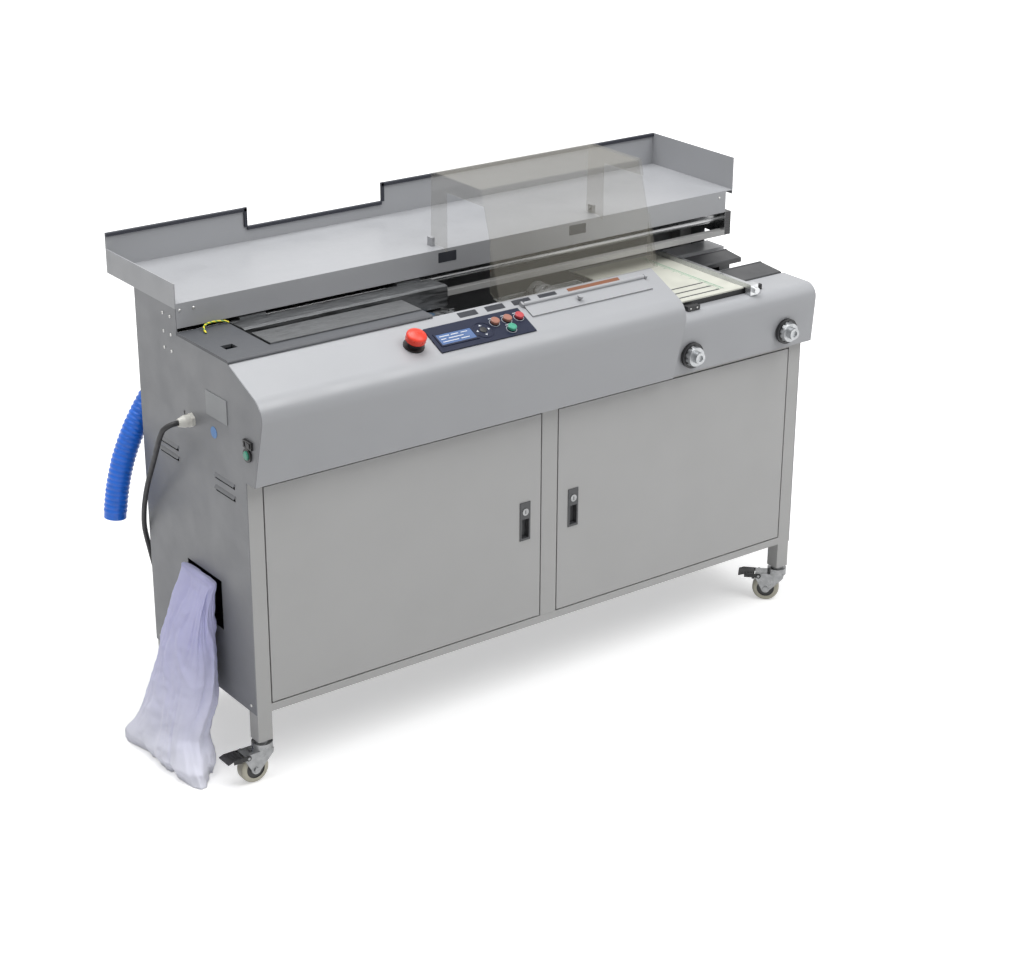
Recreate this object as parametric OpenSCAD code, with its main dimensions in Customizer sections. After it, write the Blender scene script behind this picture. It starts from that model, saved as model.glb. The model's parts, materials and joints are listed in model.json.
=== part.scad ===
// Floor-standing glue binder: cabinet on castors with a sloping hood, a clamp carriage that runs
// on two rods, a milling and glue pit, a nip station for covers and a rear shelf.
// Frame: Z up from the floor, +X to the right along the machine, +Y to the rear.

/* [Cabinet] */
// Length of the cabinet, left face to right face
body_l = 1450; // [1400:10:1520]
// Depth of the cabinet, front face to rear face
body_d = 424; // [418:2:440]
// Height of the cabinet's lower edge above the floor
floor_gap = 153; // [148:1:170]
// Height from the lower edge to the hood
cabinet_h = 507; // [490:1:540]
// Thickness of the sheet metal
sheet_t = 2; // [1.5:0.5:3]
// Width of a square post, with the side sheet on it
post_w = 35; // [32:1:38]
// Height of the sill below the doors
sill_h = 17; // [15:1:22]
// Height of the header that shows above the doors
header_h = 15; // [12:1:20]
// Width of the centre post
centre_w = 41; // [36:1:48]
// Position of the centre post from the left face
centre_x = 712; // [690:1:730]

/* [Doors] */
// Gap round each door
door_gap = 3; // [2.5:0.5:4]
// Depth of a door's folded edge
door_t = 20; // [16:1:24]
// Radius of a door pivot pin
door_pin_r = 3; // [2.5:0.5:4]
// Height of a door pull
pull_h = 88; // [70:1:100]
// Width of a door pull
pull_w = 27; // [24:1:32]

/* [Hood] */
// Length of the main hood from the left face
hood_l = 1041; // [1000:1:1080]
// Height of the hood's rear edge above its lower edge
hood_rise = 228; // [215:1:240]
// Distance of the hood's rear edge behind the cabinet front
hood_back = 53; // [48:1:58]
// Overhang of the hood's lower edge in front of the cabinet
hood_lip = 33; // [28:1:38]
// Slope of the hood's top, degrees
hood_slope = 24; // [22:0.5:26]
// Lean of the hood's front face, degrees
hood_lean = 14.5; // [12:0.5:16]
// Radius of the hood's round nose
nose_r = 44; // [36:1:50]
// Height of the cover hood's flat top above the hood's lower edge
cover_rise = 135; // [130:1:140]
// Overhang of the cover hood past the cabinet's right face
cover_over = 8; // [5:1:12]
// Radius of the cover hood's front edge
cover_r = 30; // [20:1:36]

/* [Shelf] */
// Height of the shelf floor above the deck
shelf_rise = 58; // [52:1:66]
// Distance of the shelf's front skirt behind the cabinet front
shelf_y = 252; // [246:1:258]
// Overhang of the shelf behind the cabinet
shelf_over = 118; // [100:1:130]
// Height of the front skirt
skirt_h = 51; // [48:1:54]
// Height of the left side wall above the shelf floor
left_wall_h = 41; // [30:1:50]
// Height of the tall rear walls above the shelf floor
tall_wall_h = 75; // [60:1:90]
// Height of the low rear wall above the shelf floor
low_wall_h = 34; // [25:1:45]
// Length of the left tall rear wall
wall_a_l = 329; // [300:1:350]
// Length of the low rear wall
wall_b_l = 340; // [300:1:350]

/* [Binding unit] */
// Length of the clamp's rear jaw
jaw_l = 485; // [440:1:500]
// Length of the front jaw
front_jaw_l = 352; // [320:1:360]
// Height of a jaw
jaw_h = 46; // [40:1:48]
// Gap between the jaws at rest
jaw_gap = 26; // [20:1:30]
// Travel of the carriage to the right
carriage_travel = 790; // [700:10:795]
// Radius of a guide rod
rod_r = 9; // [8:0.5:10]
// Radius of the milling cutter
cutter_r = 62; // [50:1:66]
// Radius of the glue roller
roller_r = 32; // [28:1:34]
// Radius of a nip cross rod
nip_rod_r = 8; // [7:0.5:9]

/* [Guard] */
// Length of the guard
guard_l = 423; // [400:1:430]
// Height of the guard above the hood's rear edge
guard_h = 224; // [200:1:240]
// Thickness of the guard's sheet
guard_t = 4; // [3:0.5:5]

/* [Castors] */
// Height from the floor to the end of a leg
castor_h = 90; // [86:1:96]
// Diameter of a castor wheel
wheel_d = 63; // [56:1:66]
// Width of a castor wheel
wheel_w = 26; // [22:1:28]
// Trail of a castor, stem to axle
trail = 24; // [20:1:28]

/* [Hose and cable] */
// Outer diameter of the ribbed hose
hose_d = 50; // [46:1:54]
// Wall and rib height of the hose
hose_wall = 4; // [3:0.5:5]
// Diameter of the power cable
cable_d = 11; // [10:0.5:12]
// Turns of the coiled cable
coil_turns = 5; // [4:1:6]

/* [Hidden] */
$fn = 48;

cream = [0.78, 0.77, 0.74];
cream_dark = [0.62, 0.62, 0.60];
dark_grey = [0.27, 0.29, 0.29];
steel = [0.72, 0.73, 0.74];
black = [0.08, 0.08, 0.09];

// Clearances that repeat
rest = 0.3;      // gap between a resting or passing piece and its neighbour
run = 0.05;      // radial running clearance of a pin in its bore
graze = 0.02;    // an arc stands this much proud of the straight sides it runs into

// Heights, from the floor up
cab_z = floor_gap;
floor_z = cab_z + sill_h;
hood_z = floor_gap + cabinet_h;
hood_top = hood_z + hood_rise;
deck_t = 6;
deck_z = hood_top + deck_t;
shelf_z = deck_z + shelf_rise;
side_top = shelf_z - 10;
cover_z = hood_z + cover_rise;
bed_t = 5;
bed_top = cover_z - 50;
header_z = hood_z - header_h;
rail_h = 33;

// The clamp channel under the shelf
skirt_z = shelf_z - skirt_h;
lip_h = 12;
lip_top = skirt_z - 43;
rod_z = (skirt_z + lip_top) / 2;
rod_front_y = shelf_y + 32;
rod_rear_y = body_d - 50;
rod_end_x = body_l - 20;

// The jaws
jaw_x = 115;
jaw_top = deck_z + 3;
jaw_z = jaw_top - jaw_h;
rear_jaw_t = 64;
front_jaw_t = 40;
rear_jaw_y = shelf_y - 4 - rear_jaw_t;
front_jaw_y = rear_jaw_y - jaw_gap - front_jaw_t;
jaw_open = 30;
jaw_close = jaw_gap - 4;
pin_z = jaw_z + 16;
pin_r = 6;

// The doors
door_z = floor_z + door_gap;
door_h = header_z - door_gap - door_z;
left_door_x = post_w + door_gap;
left_door_w = centre_x - door_gap - left_door_x;
right_door_x = centre_x + centre_w + door_gap;
right_door_w = body_l - post_w - door_gap - right_door_x;
pivot_in = 6;
latch_z = cab_z + 254;
latch_in = 41;
keeper_d = 14;

// The slope of the hood: its top edge, its nose and its lower edge
lean_run = hood_rise * tan(hood_lean);
// Corner where the slope and the leaning front face would meet
corner_k = (hood_rise - (hood_back + hood_lip) * tan(hood_slope))
    / (1 + tan(hood_lean) * tan(hood_slope));
corner_y = -hood_lip - corner_k * tan(hood_lean);
corner_z = hood_z + corner_k;
turn = 90 - hood_slope + hood_lean;
nose_t = nose_r * tan(turn / 2);
// Tangent points and centre of the nose
slope_dir = [cos(hood_slope), sin(hood_slope)];
lean_dir = [sin(hood_lean), -cos(hood_lean)];
tan_a = [corner_y, corner_z] + nose_t * slope_dir;
tan_b = [corner_y, corner_z] + nose_t * lean_dir;
nose_c = tan_a + nose_r * [sin(hood_slope), -cos(hood_slope)];
nose_y = nose_c[0] - nose_r;

// The shelf, the guard and the whole object's box
shelf_back = body_d + shelf_over;
bag_reach = 145;
right_end = body_l + cover_over;
origin_x = (right_end - bag_reach) / 2;
origin_y = (shelf_back + nose_y) / 2;
guard_x = hood_l + 17 - guard_l;
guard_front_y = hood_back - 4;
guard_top = hood_top + guard_h;
guard_lean = 66;
guard_rear_y = shelf_y + 28;
guard_axis_y = guard_rear_y + 8;
guard_axis_z = shelf_z + 12;
guard_pin_r = 3;
slot_y = [front_jaw_y - jaw_open - 6, shelf_y - 12];

// The cover table
table_x = hood_l + rest;
table_r = body_l - 171;
table_z = cover_z + 12;
table_t = 3;
fence_x = table_r;
fence_w = 10;
fence_travel = 30;
apron_y = 282;
apron_d = 60;
nip_x = hood_l + 7;
nip_l = body_l + 2 - nip_x;
nip_top = table_z - 2;
nip_front_y = 78;
nip_front_w = 76;
nip_rear_y = 214;
nip_rear_w = 60;
nip_close = 22;
nip_rod_z = bed_top + 24;
nip_rods = [nip_x + 30, nip_x + nip_l - 46];

// Knobs on the cover hood's leaning front
knob_x = [hood_l + 53, body_l - 79];
knob_z = hood_z + 42;
knob_y = 3 - hood_lip;

// Pit
cutter_x = hood_l - 496;
tool_y = rear_jaw_y - jaw_gap / 2;
roller_x = hood_l - 181;
roller_z = jaw_z - 3 - roller_r;
tank_x = [roller_x - 115, roller_x + 115];
tank_w = 110;
tank_top = roller_z + 12;

// Places on the slope: distance down from the rear edge
hatch_x = hood_l - 361;
panel_l = 234;
panel_x = hatch_x - 17 - panel_l;
panel_s = 30;
panel_w = 73;
panel_t = 3;
hatch_l = 320;
hatch_s = 26;
hatch_w = 37;
button_r = 9.5;
buttons = [[panel_x + 158, 57], [panel_x + 189, 57], [panel_x + 219, 57], [panel_x + 183, 84]];
estop_at = [panel_x - 44, 66];
estop_r = 21;

// Side fittings on the left face: Y and Z from the cabinet's corner
gland_y = 205;
gland_z = hood_z + 66;
rocker_y = -18;
rocker_z = hood_z + 86;
side_btn_y = -14;
side_btn_z = hood_z + 63;
waste_y = [119, 258];
waste_z = [cab_z + 144, cab_z + 253];
outlet_x = 125;
outlet_z = cab_z + 612;
elbow_r = 45;

// Castors
leg_c = sheet_t + (post_w - sheet_t) / 2;
stem_r = 6;
axle_r = 4;
axle_z = wheel_d / 2;
fork_in = wheel_w / 2 + 1.5;
front_turn = [180, 135];
front_x = [leg_c, body_l - leg_c];
leg_y = (post_w - sheet_t) / 2;
rear_leg_y = body_d - sheet_t - leg_y;

// The hose hangs from the elbow, bare at its end: hand-set points
hose_pts = [[93.2, 476, 733.2], [85.2, 476, 725.2], [73, 476, 713], [51, 476, 688],
    [26, 476, 654], [0, 476, 611], [-24, 476, 558], [-40, 476, 504], [-49, 476, 456],
    [-52, 476, 432]];
rib_pitch = 12;

// The power cable's free stretch, hand-set points
cable_pts = [[-32, 205, 726], [-37, 205, 726], [-42, 205, 726], [-50, 215, 712],
    [-50, 240, 682], [-47, 272, 645], [-42, 308, 602], [-35, 344, 556], [-27, 378, 508], [-17, 410, 458],
    [-5, 436, 408], [10, 448, 350], [26, 454, 280], [38, 458, 210], [54, 466, 130],
    [78, 478, 68], [118, 496, 26], [172, 512, 9.5], [226, 519, 6.2], [290, 520, 5.5],
    [330, 520, 5.5], [364, 520, 5.5]];
coil_c = [375, 445];
coil_pitch = cable_d + 2;
coil_out = 75;
layer_turns = (coil_turns - 0.5) / 2;
coil_ring_n = 24;

module place() {
    translate([-origin_x, -origin_y, 0]) children();
}

// A prism with its outline in Y and Z, running along X
module along_x(x, l) {
    translate([x, 0, 0]) rotate([90, 0, 90]) linear_extrude(l) children();
}

// A hollow square rail between two corners
module tube_x(p, s, wall) {
    difference() {
        translate(p) cube(s);
        translate(p + [-1, wall, wall]) cube(s + [2, -2 * wall, -2 * wall]);
    }
}

// Puts children on the slope, x along the hood and s down from its rear edge
module on_slope(x, s) {
    translate([x, hood_back, hood_top]) rotate([hood_slope, 0, 0]) translate([0, -s, 0])
        children();
}

// The hood's section: a slope, a round nose and a front face that leans in
module hood_outline() {
    polygon([[hood_back, hood_top], tan_a, nose_c, tan_b, [-hood_lip, hood_z],
        [hood_back, hood_z]]);
    translate(nose_c) circle(nose_r + graze);
}

// The space inside the folded sheet, open to the rear below the top's flange
module hood_inside() {
    t = sheet_t;
    a = tan_a + t * [sin(hood_slope), -cos(hood_slope)];
    b = tan_b + t * [cos(hood_lean), sin(hood_lean)];
    low = [t / cos(hood_lean) + t * tan(hood_lean) - hood_lip, hood_z + t];
    top = [hood_back - t, hood_top - t * tan(hood_slope) - t / cos(hood_slope)];
    polygon([top, a, nose_c, b, low, [400, hood_z + t], [400, hood_top - 20],
        [hood_back - t, hood_top - 20]]);
    translate(nose_c) circle(nose_r - t + graze);
}

module frame_posts() {
    w = post_w - sheet_t;
    color(cream) place() {
        for (x = front_x, y = [leg_y, rear_leg_y]) {
            top = y == leg_y ? bed_top - bed_t : side_top - 2;
            difference() {
                translate([x - w / 2, y - w / 2, castor_h]) cube([w, w, top - castor_h]);
                translate([x - w / 2 + 2, y - w / 2 + 2, castor_h + 6])
                    cube([w - 4, w - 4, top - castor_h]);
                translate([x, y, castor_h - 1]) cylinder(r = stem_r + run, h = 8);
            }
        }
    }
}

module frame_rails() {
    w = post_w - sheet_t;
    span = body_l - 2 * post_w;
    deep = body_d - 2 * w - sheet_t;
    pins = [left_door_x + pivot_in, right_door_x + right_door_w - pivot_in];
    color(cream) place() {
        // Header and sill with the doors' pivot pins, and the centre post
        union() {
            tube_x([post_w, 0, header_z], [span, w, rail_h], 2);
            for (x = pins) translate([x, pivot_in, header_z - 12])
                cylinder(r = door_pin_r, h = 13);
        }
        union() {
            tube_x([post_w, 0, cab_z], [span, w, sill_h], 2);
            for (x = pins) translate([x, pivot_in, floor_z - 1]) cylinder(r = door_pin_r, h = 13);
        }
        difference() {
            translate([centre_x, 0, floor_z + rest])
                cube([centre_w, w, header_z - floor_z - 2 * rest]);
            for (x = [centre_x - 1, centre_x + centre_w - keeper_d])
                translate([x, door_t + 1, latch_z + 22 - 38]) cube([keeper_d + 1, 6, 48]);
        }
        // Rear header and sill
        tube_x([post_w, body_d - sheet_t - w, header_z], [span, w, rail_h], 2);
        tube_x([post_w, body_d - sheet_t - w, cab_z], [span, w, sill_h], 2);
        // Side sills and bed bearers
        difference() {
            for (x = [sheet_t, body_l - sheet_t - w], z = [cab_z, bed_top - bed_t - rail_h])
                translate([x, w, z]) cube([w, deep, z == cab_z ? sill_h : rail_h]);
            translate([0, gland_y, gland_z]) rotate([0, 90, 0]) cylinder(r = 11, h = post_w + 1);
        }
        // Lower lip of the clamp channel
        translate([sheet_t, shelf_y, lip_top - lip_h]) cube([rod_end_x - sheet_t, 18, lip_h]);
    }
}

module louvre(y, z) {
    translate([-1, y, z]) cube([sheet_t + 2, 77, 6]);
}

module louvre_lip(y, z) {
    translate([-4, y, z + 6]) rotate([0, 30, 0]) cube([1.2, 77, 9]);
}

left_louvres = [[271, hood_z - 24], [271, hood_z - 46], [45, hood_z - 30], [45, hood_z - 56]];

module left_panel() {
    color(cream_dark) place() {
        difference() {
            along_x(0, sheet_t) difference() {
                union() {
                    polygon([[0, cab_z], [body_d, cab_z], [body_d, side_top],
                        [shelf_y, side_top], [shelf_y, hood_top], [hood_back, hood_top], tan_a,
                        nose_c, tan_b, [-hood_lip, hood_z], [0, hood_z]]);
                    translate(nose_c) circle(nose_r + graze);
                }
                translate([waste_y[0], waste_z[0]])
                    square([waste_y[1] - waste_y[0], waste_z[1] - waste_z[0]]);
            }
            for (p = left_louvres) louvre(p[0], p[1]);
            translate([-1, gland_y, gland_z]) rotate([0, 90, 0]) cylinder(r = 9, h = 4);
            translate([-1, gland_y + 28, gland_z + 5]) rotate([0, 90, 0]) cylinder(r = 6, h = 4);
            translate([-1, rocker_y - 13, rocker_z - 6]) cube([4, 26, 12]);
            translate([-1, side_btn_y, side_btn_z]) rotate([0, 90, 0]) cylinder(r = 11, h = 4);
        }
        for (p = left_louvres) louvre_lip(p[0], p[1]);
    }
}

module right_panel() {
    low = bed_top - bed_t;
    color(cream_dark) place() along_x(body_l - sheet_t, sheet_t) polygon([[0, cab_z],
        [body_d, cab_z], [body_d, side_top], [apron_y + apron_d, side_top],
        [apron_y + apron_d, low], [0, low]]);
}

module rear_panel() {
    louvre_l = 120;
    color(cream_dark) place() difference() {
        translate([sheet_t, body_d - sheet_t, cab_z])
            cube([body_l - 2 * sheet_t, sheet_t, side_top - cab_z]);
        translate([outlet_x, body_d - sheet_t - 1, outlet_z]) rotate([-90, 0, 0])
            cylinder(r = 25, h = sheet_t + 2);
        for (x = [330, 1000], k = [0:5]) translate([x, body_d - sheet_t - 1, cab_z + 330 + 20 * k])
            cube([louvre_l, sheet_t + 2, 6]);
    }
}

module floor_panel() {
    w = post_w - sheet_t;
    color(cream_dark) place() translate([10, w + 1, floor_z])
        cube([body_l - 20, body_d - sheet_t - 2 * w - 2, sheet_t]);
}

module bed_plate() {
    w = post_w - sheet_t;
    color(dark_grey) place() difference() {
        translate([sheet_t, 0, bed_top - bed_t])
            cube([body_l - 2 * sheet_t, body_d - sheet_t - w - 0.5, bed_t]);
        translate([cutter_x, tool_y, bed_top - bed_t - 1]) cylinder(r = 20, h = bed_t + 2);
    }
}

module main_hood() {
    x0 = sheet_t;
    l = hood_l - x0;
    color(cream) place() union() {
        difference() {
            along_x(x0, l) hood_outline();
            // The inside, open to the rear and to the left sheet
            along_x(x0 - 1, l + 1 - sheet_t) hood_inside();
            // The end wall and the lower flange stay clear of the bed and the header
            along_x(x0 - 1, l + 2) translate([-rest, hood_z - 1])
                square([400, bed_top - hood_z + rest + 1]);
            // Openings under the control panel and the hatch, and the stop's hole
            on_slope(panel_x + 6, panel_s + panel_w - 6) translate([0, 0, -8])
                cube([panel_l - 12, panel_w - 12, 16]);
            on_slope(hatch_x + 12, hatch_s + hatch_w - 8) translate([0, 0, -8])
                cube([hatch_l - 24, hatch_w - 18, 16]);
            on_slope(estop_at[0], estop_at[1]) translate([0, 0, -8]) cylinder(r = 12, h = 16);
        }
        // Hinge lugs of the hatch
        for (x = [hatch_x - 6, hatch_x + hatch_l + 1]) on_slope(x, hatch_s) {
            translate([0, -5, -1]) cube([5, 10, 10]);
            translate([x < hatch_x ? 1 : -9, 0, 5]) rotate([0, 90, 0])
                cylinder(r = 2.5, h = 13);
        }
    }
}

module cover_hood() {
    l = right_end - hood_l;
    front = -hood_lip + 1;
    t = sheet_t;
    back = nip_front_y - rest - 1;
    color(cream) place() difference() {
        union() {
        along_x(hood_l + rest, l - rest) difference() {
            union() {
                polygon([[0, hood_z], [-24, hood_z], [front, cover_z - cover_r],
                    [front + cover_r, cover_z], [back, cover_z], [back, cover_z - 12],
                    [0, cover_z - 60]]);
                translate([front + cover_r, cover_z - cover_r]) circle(cover_r + graze);
            }
            union() {
                polygon([[400, hood_z + t], [-24 + t, hood_z + t], [front + t, cover_z - cover_r],
                    [front + cover_r, cover_z - t],
                    [back - t, cover_z - t], [back - t, cover_z - 14], [400, cover_z - 14]]);
                translate([front + cover_r, cover_z - cover_r]) circle(cover_r - t + graze);
            }
            translate([back, hood_z]) square([400, 400]);
        }
        // Right end wall, which carries the rear apron
        along_x(right_end - t, t) difference() {
            union() {
                polygon([[apron_y + apron_d, hood_z], [-23.5, hood_z + 0.5],
                    [front + 0.5, cover_z - cover_r], [front + cover_r, cover_z - 0.5],
                    [back - 0.5, cover_z - 0.5], [back - 0.5, bed_top - 12],
                    [apron_y, bed_top - 12], [apron_y, table_z - 1],
                    [apron_y + apron_d, table_z - 1]]);
                translate([front + cover_r, cover_z - cover_r]) circle(cover_r - 0.5);
            }
            translate([-200, hood_z - 10]) square([600, 11]);
        }
        translate([hood_l + rest, apron_y, table_z - 16]) cube([l - rest - t, t, 16]);
        translate([hood_l + rest, apron_y, table_z - t]) cube([l - rest, apron_d, t]);
        }
        for (x = knob_x) translate([x, -60, knob_z]) rotate([-90, 0, 0])
            cylinder(r = 6 + run, h = 60);
    }
}

module deck() {
    pad_l = jaw_x - 3;
    deck_l = jaw_x + front_jaw_l + 3;
    strip = front_jaw_y - jaw_open - 3;
    color(dark_grey) place() difference() {
        along_x(0, deck_l) union() {
            translate([hood_back - 4 + deck_t, hood_top])
                square([shelf_y - hood_back - 4 - rest, deck_t]);
            translate([hood_back - 4 + deck_t, hood_top]) intersection() {
                circle(deck_t);
                translate([-deck_t, 0]) square(deck_t);
            }
        }
        translate([pad_l, strip, hood_top - 1]) cube([deck_l, shelf_y, deck_t + 2]);
        translate([30, 108, hood_top - 1]) cube([26, 24, deck_t + 2]);
    }
}

module shelf() {
    t = sheet_t;
    wall_c_x = wall_a_l + wall_b_l;
    color(cream) place() {
        difference() {
            union() {
                translate([0, shelf_y, shelf_z - t]) cube([body_l, shelf_back - shelf_y, t]);
                translate([t, shelf_y, skirt_z]) cube([rod_end_x - t, t, skirt_h]);
                translate([0, shelf_y, side_top])
                    cube([t, shelf_back - shelf_y, shelf_z - side_top + left_wall_h]);
                translate([body_l - t, shelf_y, side_top])
                    cube([t, shelf_back - shelf_y, shelf_z - side_top + tall_wall_h]);
                // Rear walls in three lengths
                translate([0, shelf_back - t, side_top])
                    cube([wall_a_l, t, shelf_z - side_top + tall_wall_h]);
                translate([wall_a_l, shelf_back - t, side_top])
                    cube([wall_b_l, t, shelf_z - side_top + low_wall_h]);
                translate([wall_c_x, shelf_back - t, side_top])
                    cube([body_l - wall_c_x, t, shelf_z - side_top + tall_wall_h]);
                translate([0, shelf_back - 20, shelf_z - t]) cube([body_l, 20, t]);
            }
            // The left wall rises to the rear wall in a slant
            translate([-1, shelf_y - 1, shelf_z + left_wall_h]) cube([t + 2, 250, 100]);
        }
        // Lugs and pins of the guard's hinge
        for (side = [0, 1]) {
            x = side == 0 ? guard_x - 9 : guard_x + guard_l + 1;
            translate([x, guard_axis_y - 8, shelf_z]) cube([8, 16, guard_axis_z - shelf_z + 7]);
            translate([side == 0 ? x : x - 4, guard_axis_y, guard_axis_z]) rotate([0, 90, 0])
                cylinder(r = guard_pin_r, h = 12);
        }
    }
}

module guide_rails() {
    block = [body_l - sheet_t - rod_end_x, apron_y + apron_d - shelf_y, skirt_z - lip_top + lip_h];
    color(steel) place() {
        for (y = [rod_front_y, rod_rear_y]) translate([sheet_t, y, rod_z]) rotate([0, 90, 0])
            cylinder(r = rod_r, h = (y == rod_front_y ? rod_end_x : body_l - sheet_t) - sheet_t);
        // Nip cross rods on pedestals
        for (x = nip_rods) {
            translate([x, 34, nip_rod_z]) rotate([-90, 0, 0]) cylinder(r = nip_rod_r, h = 300);
            for (y = [38, 312]) difference() {
                translate([x - 14, y, bed_top]) cube([28, 18, nip_rod_z - bed_top + 13]);
                translate([x, y - 1, nip_rod_z]) rotate([-90, 0, 0])
                    cylinder(r = nip_rod_r, h = 20);
            }
        }
        translate([rod_end_x, shelf_y, lip_top - lip_h]) cube(block);
    }
}

module panel_button_holes() {
    for (b = buttons) translate([b[0] - panel_x, panel_s + panel_w - b[1], -1])
        cylinder(r = 4 + run, h = panel_t + 2);
}

module control_panel() {
    rim = 2;
    color([0.13, 0.16, 0.26]) place() on_slope(panel_x, panel_s + panel_w) difference() {
        union() {
            cube([panel_l, panel_w, panel_t]);
            translate([9, 14, 0]) cube([92, 38, panel_t + 1.5]);
            translate([122, 34, 0]) cylinder(r = 23, h = panel_t + 1);
        }
        panel_button_holes();
        translate([13, 18, panel_t]) cube([84, 30, 3]);
        translate([122, 34, panel_t]) cylinder(r = 23 - rim, h = 3);
    }
}

module switch_rings() {
    color([0.15, 0.15, 0.15]) place() {
        // Collar of the emergency stop
        on_slope(estop_at[0], estop_at[1]) difference() {
            union() {
                cylinder(r = estop_r + 1, h = 3);
                cylinder(r = 14, h = 10);
            }
            translate([0, 0, -1]) cylinder(r = 10 + run, h = 14);
        }
        // Frame of the rocker switch
        difference() {
            translate([-4.9, rocker_y - 15, rocker_z - 8]) cube([4.9, 30, 16]);
            translate([-6, rocker_y - 11.5, rocker_z - 5]) cube([8, 23, 10]);
        }
        translate([0, rocker_y, rocker_z]) for (s = [0, 1]) mirror([0, 0, s])
            translate([-3.2, 0, 3]) cylinder(r = 1.5, h = 3);
        // Ring of the round button
        translate([-4, side_btn_y, side_btn_z]) rotate([0, 90, 0]) difference() {
            cylinder(r = 14, h = 4);
            translate([0, 0, -1]) cylinder(r = 9 + run, h = 8);
        }
    }
}

module cable_gland() {
    color([0.92, 0.91, 0.88]) place() translate([0, gland_y, gland_z]) rotate([0, -90, 0])
        difference() {
            union() {
                cylinder(r = 15, h = 8, $fn = 6);
                translate([0, 0, 8]) cylinder(r = 12.5, h = 10);
                translate([0, 0, 18]) cylinder(r1 = 12.5, r2 = 8, h = 14);
                translate([0, 0, -8]) cylinder(r = 8.5, h = 9);
            }
            translate([0, 0, -9]) cylinder(r = cable_d / 2 - 1, h = 60);
        }
}

module cover_table() {
    y0 = 14;
    y1 = apron_y + 40;
    line_w = 2;
    color([0.93, 0.92, 0.84]) place() difference() {
        translate([table_x, y0, table_z]) cube([table_r - table_x, y1 - y0, table_t]);
        // Crease guides and a slot over the nip
        for (y = [34, 62, 90]) translate([table_x + 20, y, table_z + table_t - 1])
            cube([table_r - table_x - 60, line_w, 2]);
    }
}

module table_rail() {
    color(black) place() {
        translate([table_x + 4, 14, cover_z])
            cube([table_r + 51 - table_x, 8, table_z - cover_z]);
        // Corner bracket hooked over the hood's front edge
        translate([hood_l + 55, -1, cover_z]) cube([34, 16, 7]);
        translate([hood_l + 55, -12, cover_z]) cube([34, 12, 10]);
    }
}

module glue_tank() {
    wall = 3;
    y0 = tool_y - tank_w / 2;
    l = tank_x[1] - tank_x[0];
    color([0.55, 0.56, 0.57]) place() {
        difference() {
            translate([tank_x[0], y0, bed_top + 12]) cube([l, tank_w, tank_top - bed_top - 12]);
            translate([tank_x[0] + wall, y0 + wall, bed_top + 16])
                cube([l - 2 * wall, tank_w - 2 * wall, 100]);
            translate([roller_x, y0 - 1, roller_z]) rotate([-90, 0, 0])
                cylinder(r = 8 + run, h = tank_w + 2);
        }
        for (x = [tank_x[0] + 8, tank_x[1] - 20], y = [y0 + 4, y0 + tank_w - 16])
            translate([x, y, bed_top]) cube([12, 12, 12]);
    }
}

module motors() {
    color([0.20, 0.30, 0.38]) place() {
        // Milling motor under the bed, with its shaft
        translate([cutter_x, tool_y, 0]) {
            translate([0, 0, bed_top - bed_t - 12]) cylinder(r = 78, h = 12);
            translate([0, 0, bed_top - bed_t - 200]) difference() {
                cylinder(r = 64, h = 190);
                for (k = [0:23]) rotate(k * 15) translate([61, -2.5, 14]) cube([6, 5, 160]);
            }
            translate([0, 0, bed_top - bed_t - 214]) cylinder(r = 56, h = 15);
            translate([0, 0, bed_top - bed_t - 1]) cylinder(r = 12, h = jaw_z - 4 - bed_top + bed_t + 1);
        }
        // Gear motor of the carriage drive on the bed
        translate([60, rod_rear_y - 44, bed_top]) {
            cube([70, 56, 70]);
            translate([70, 28, 38]) rotate([0, 90, 0]) cylinder(r = 30, h = 110);
            translate([90, 8, 0]) cube([70, 40, 12]);
            translate([30, -14, 38]) rotate([-90, 0, 0]) cylinder(r = 8, h = 16);
        }
    }
}

module electrics_box() {
    color([0.70, 0.71, 0.70]) place() translate([body_l - 440, body_d - 162, floor_z + sheet_t])
    difference() {
        union() {
            cube([300, 116, 240]);
            translate([-4, -6, 6]) cube([308, 6, 228]);
            for (k = [0:3]) translate([60 + 60 * k, 60, 240]) cylinder(r = 11, h = 14);
        }
        translate([3, 3, 3]) cube([294, 110, 234]);
        // Cable entries in the lid
        for (k = [0:3]) translate([60 + 60 * k, 60, 230]) cylinder(r = 7, h = 30);
    }
}

module hose_outlet() {
    bore = hose_d / 2 - hose_wall;
    color([0.18, 0.18, 0.19]) place() translate([outlet_x, body_d, outlet_z]) difference() {
        union() {
            rotate([-90, 0, 0]) cylinder(r = 38, h = 4);
            rotate([-90, 0, 0]) cylinder(r = bore + 6, h = 9);
            translate([0, -16, 0]) rotate([-90, 0, 0]) cylinder(r = bore + 2.5, h = 17);
            translate([0, 7, 0]) rotate([0, -45, 0]) translate([-elbow_r, 0, 0]) {
                rotate_extrude(angle = 90) translate([elbow_r, 0]) circle(bore + 2.5);
            }
        }
        translate([0, -17, 0]) rotate([-90, 0, 0]) cylinder(r = bore - 1, h = 25);
        translate([0, 7, 0]) rotate([0, -45, 0]) translate([-elbow_r, 0, 0])
            rotate_extrude(angle = 92) translate([elbow_r, 0]) circle(bore);
    }
}

// Rings of the waste bag: height, front and rear Y, outermost and innermost X
bag_rings = [[3, 76, 314, 132, 34], [26, 66, 328, bag_reach, 28], [80, 92, 316, 126, 24],
    [160, 96, 298, 106, 6], [250, 102, 278, 86, 3], [330, 112, 264, 60, 2],
    [cab_z + 240, 121, 257, 26, 1]];
bag_sides = 20;
function bag_point(r, a) =
    let (c = cos(a), s = sin(a), e = 0.7)
    [-(r[3] + r[4]) / 2 + (r[3] - r[4]) / 2 * sign(c) * pow(abs(c), e),
        (r[1] + r[2]) / 2 + (r[2] - r[1]) / 2 * sign(s) * pow(abs(s), e), r[0]];

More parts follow.
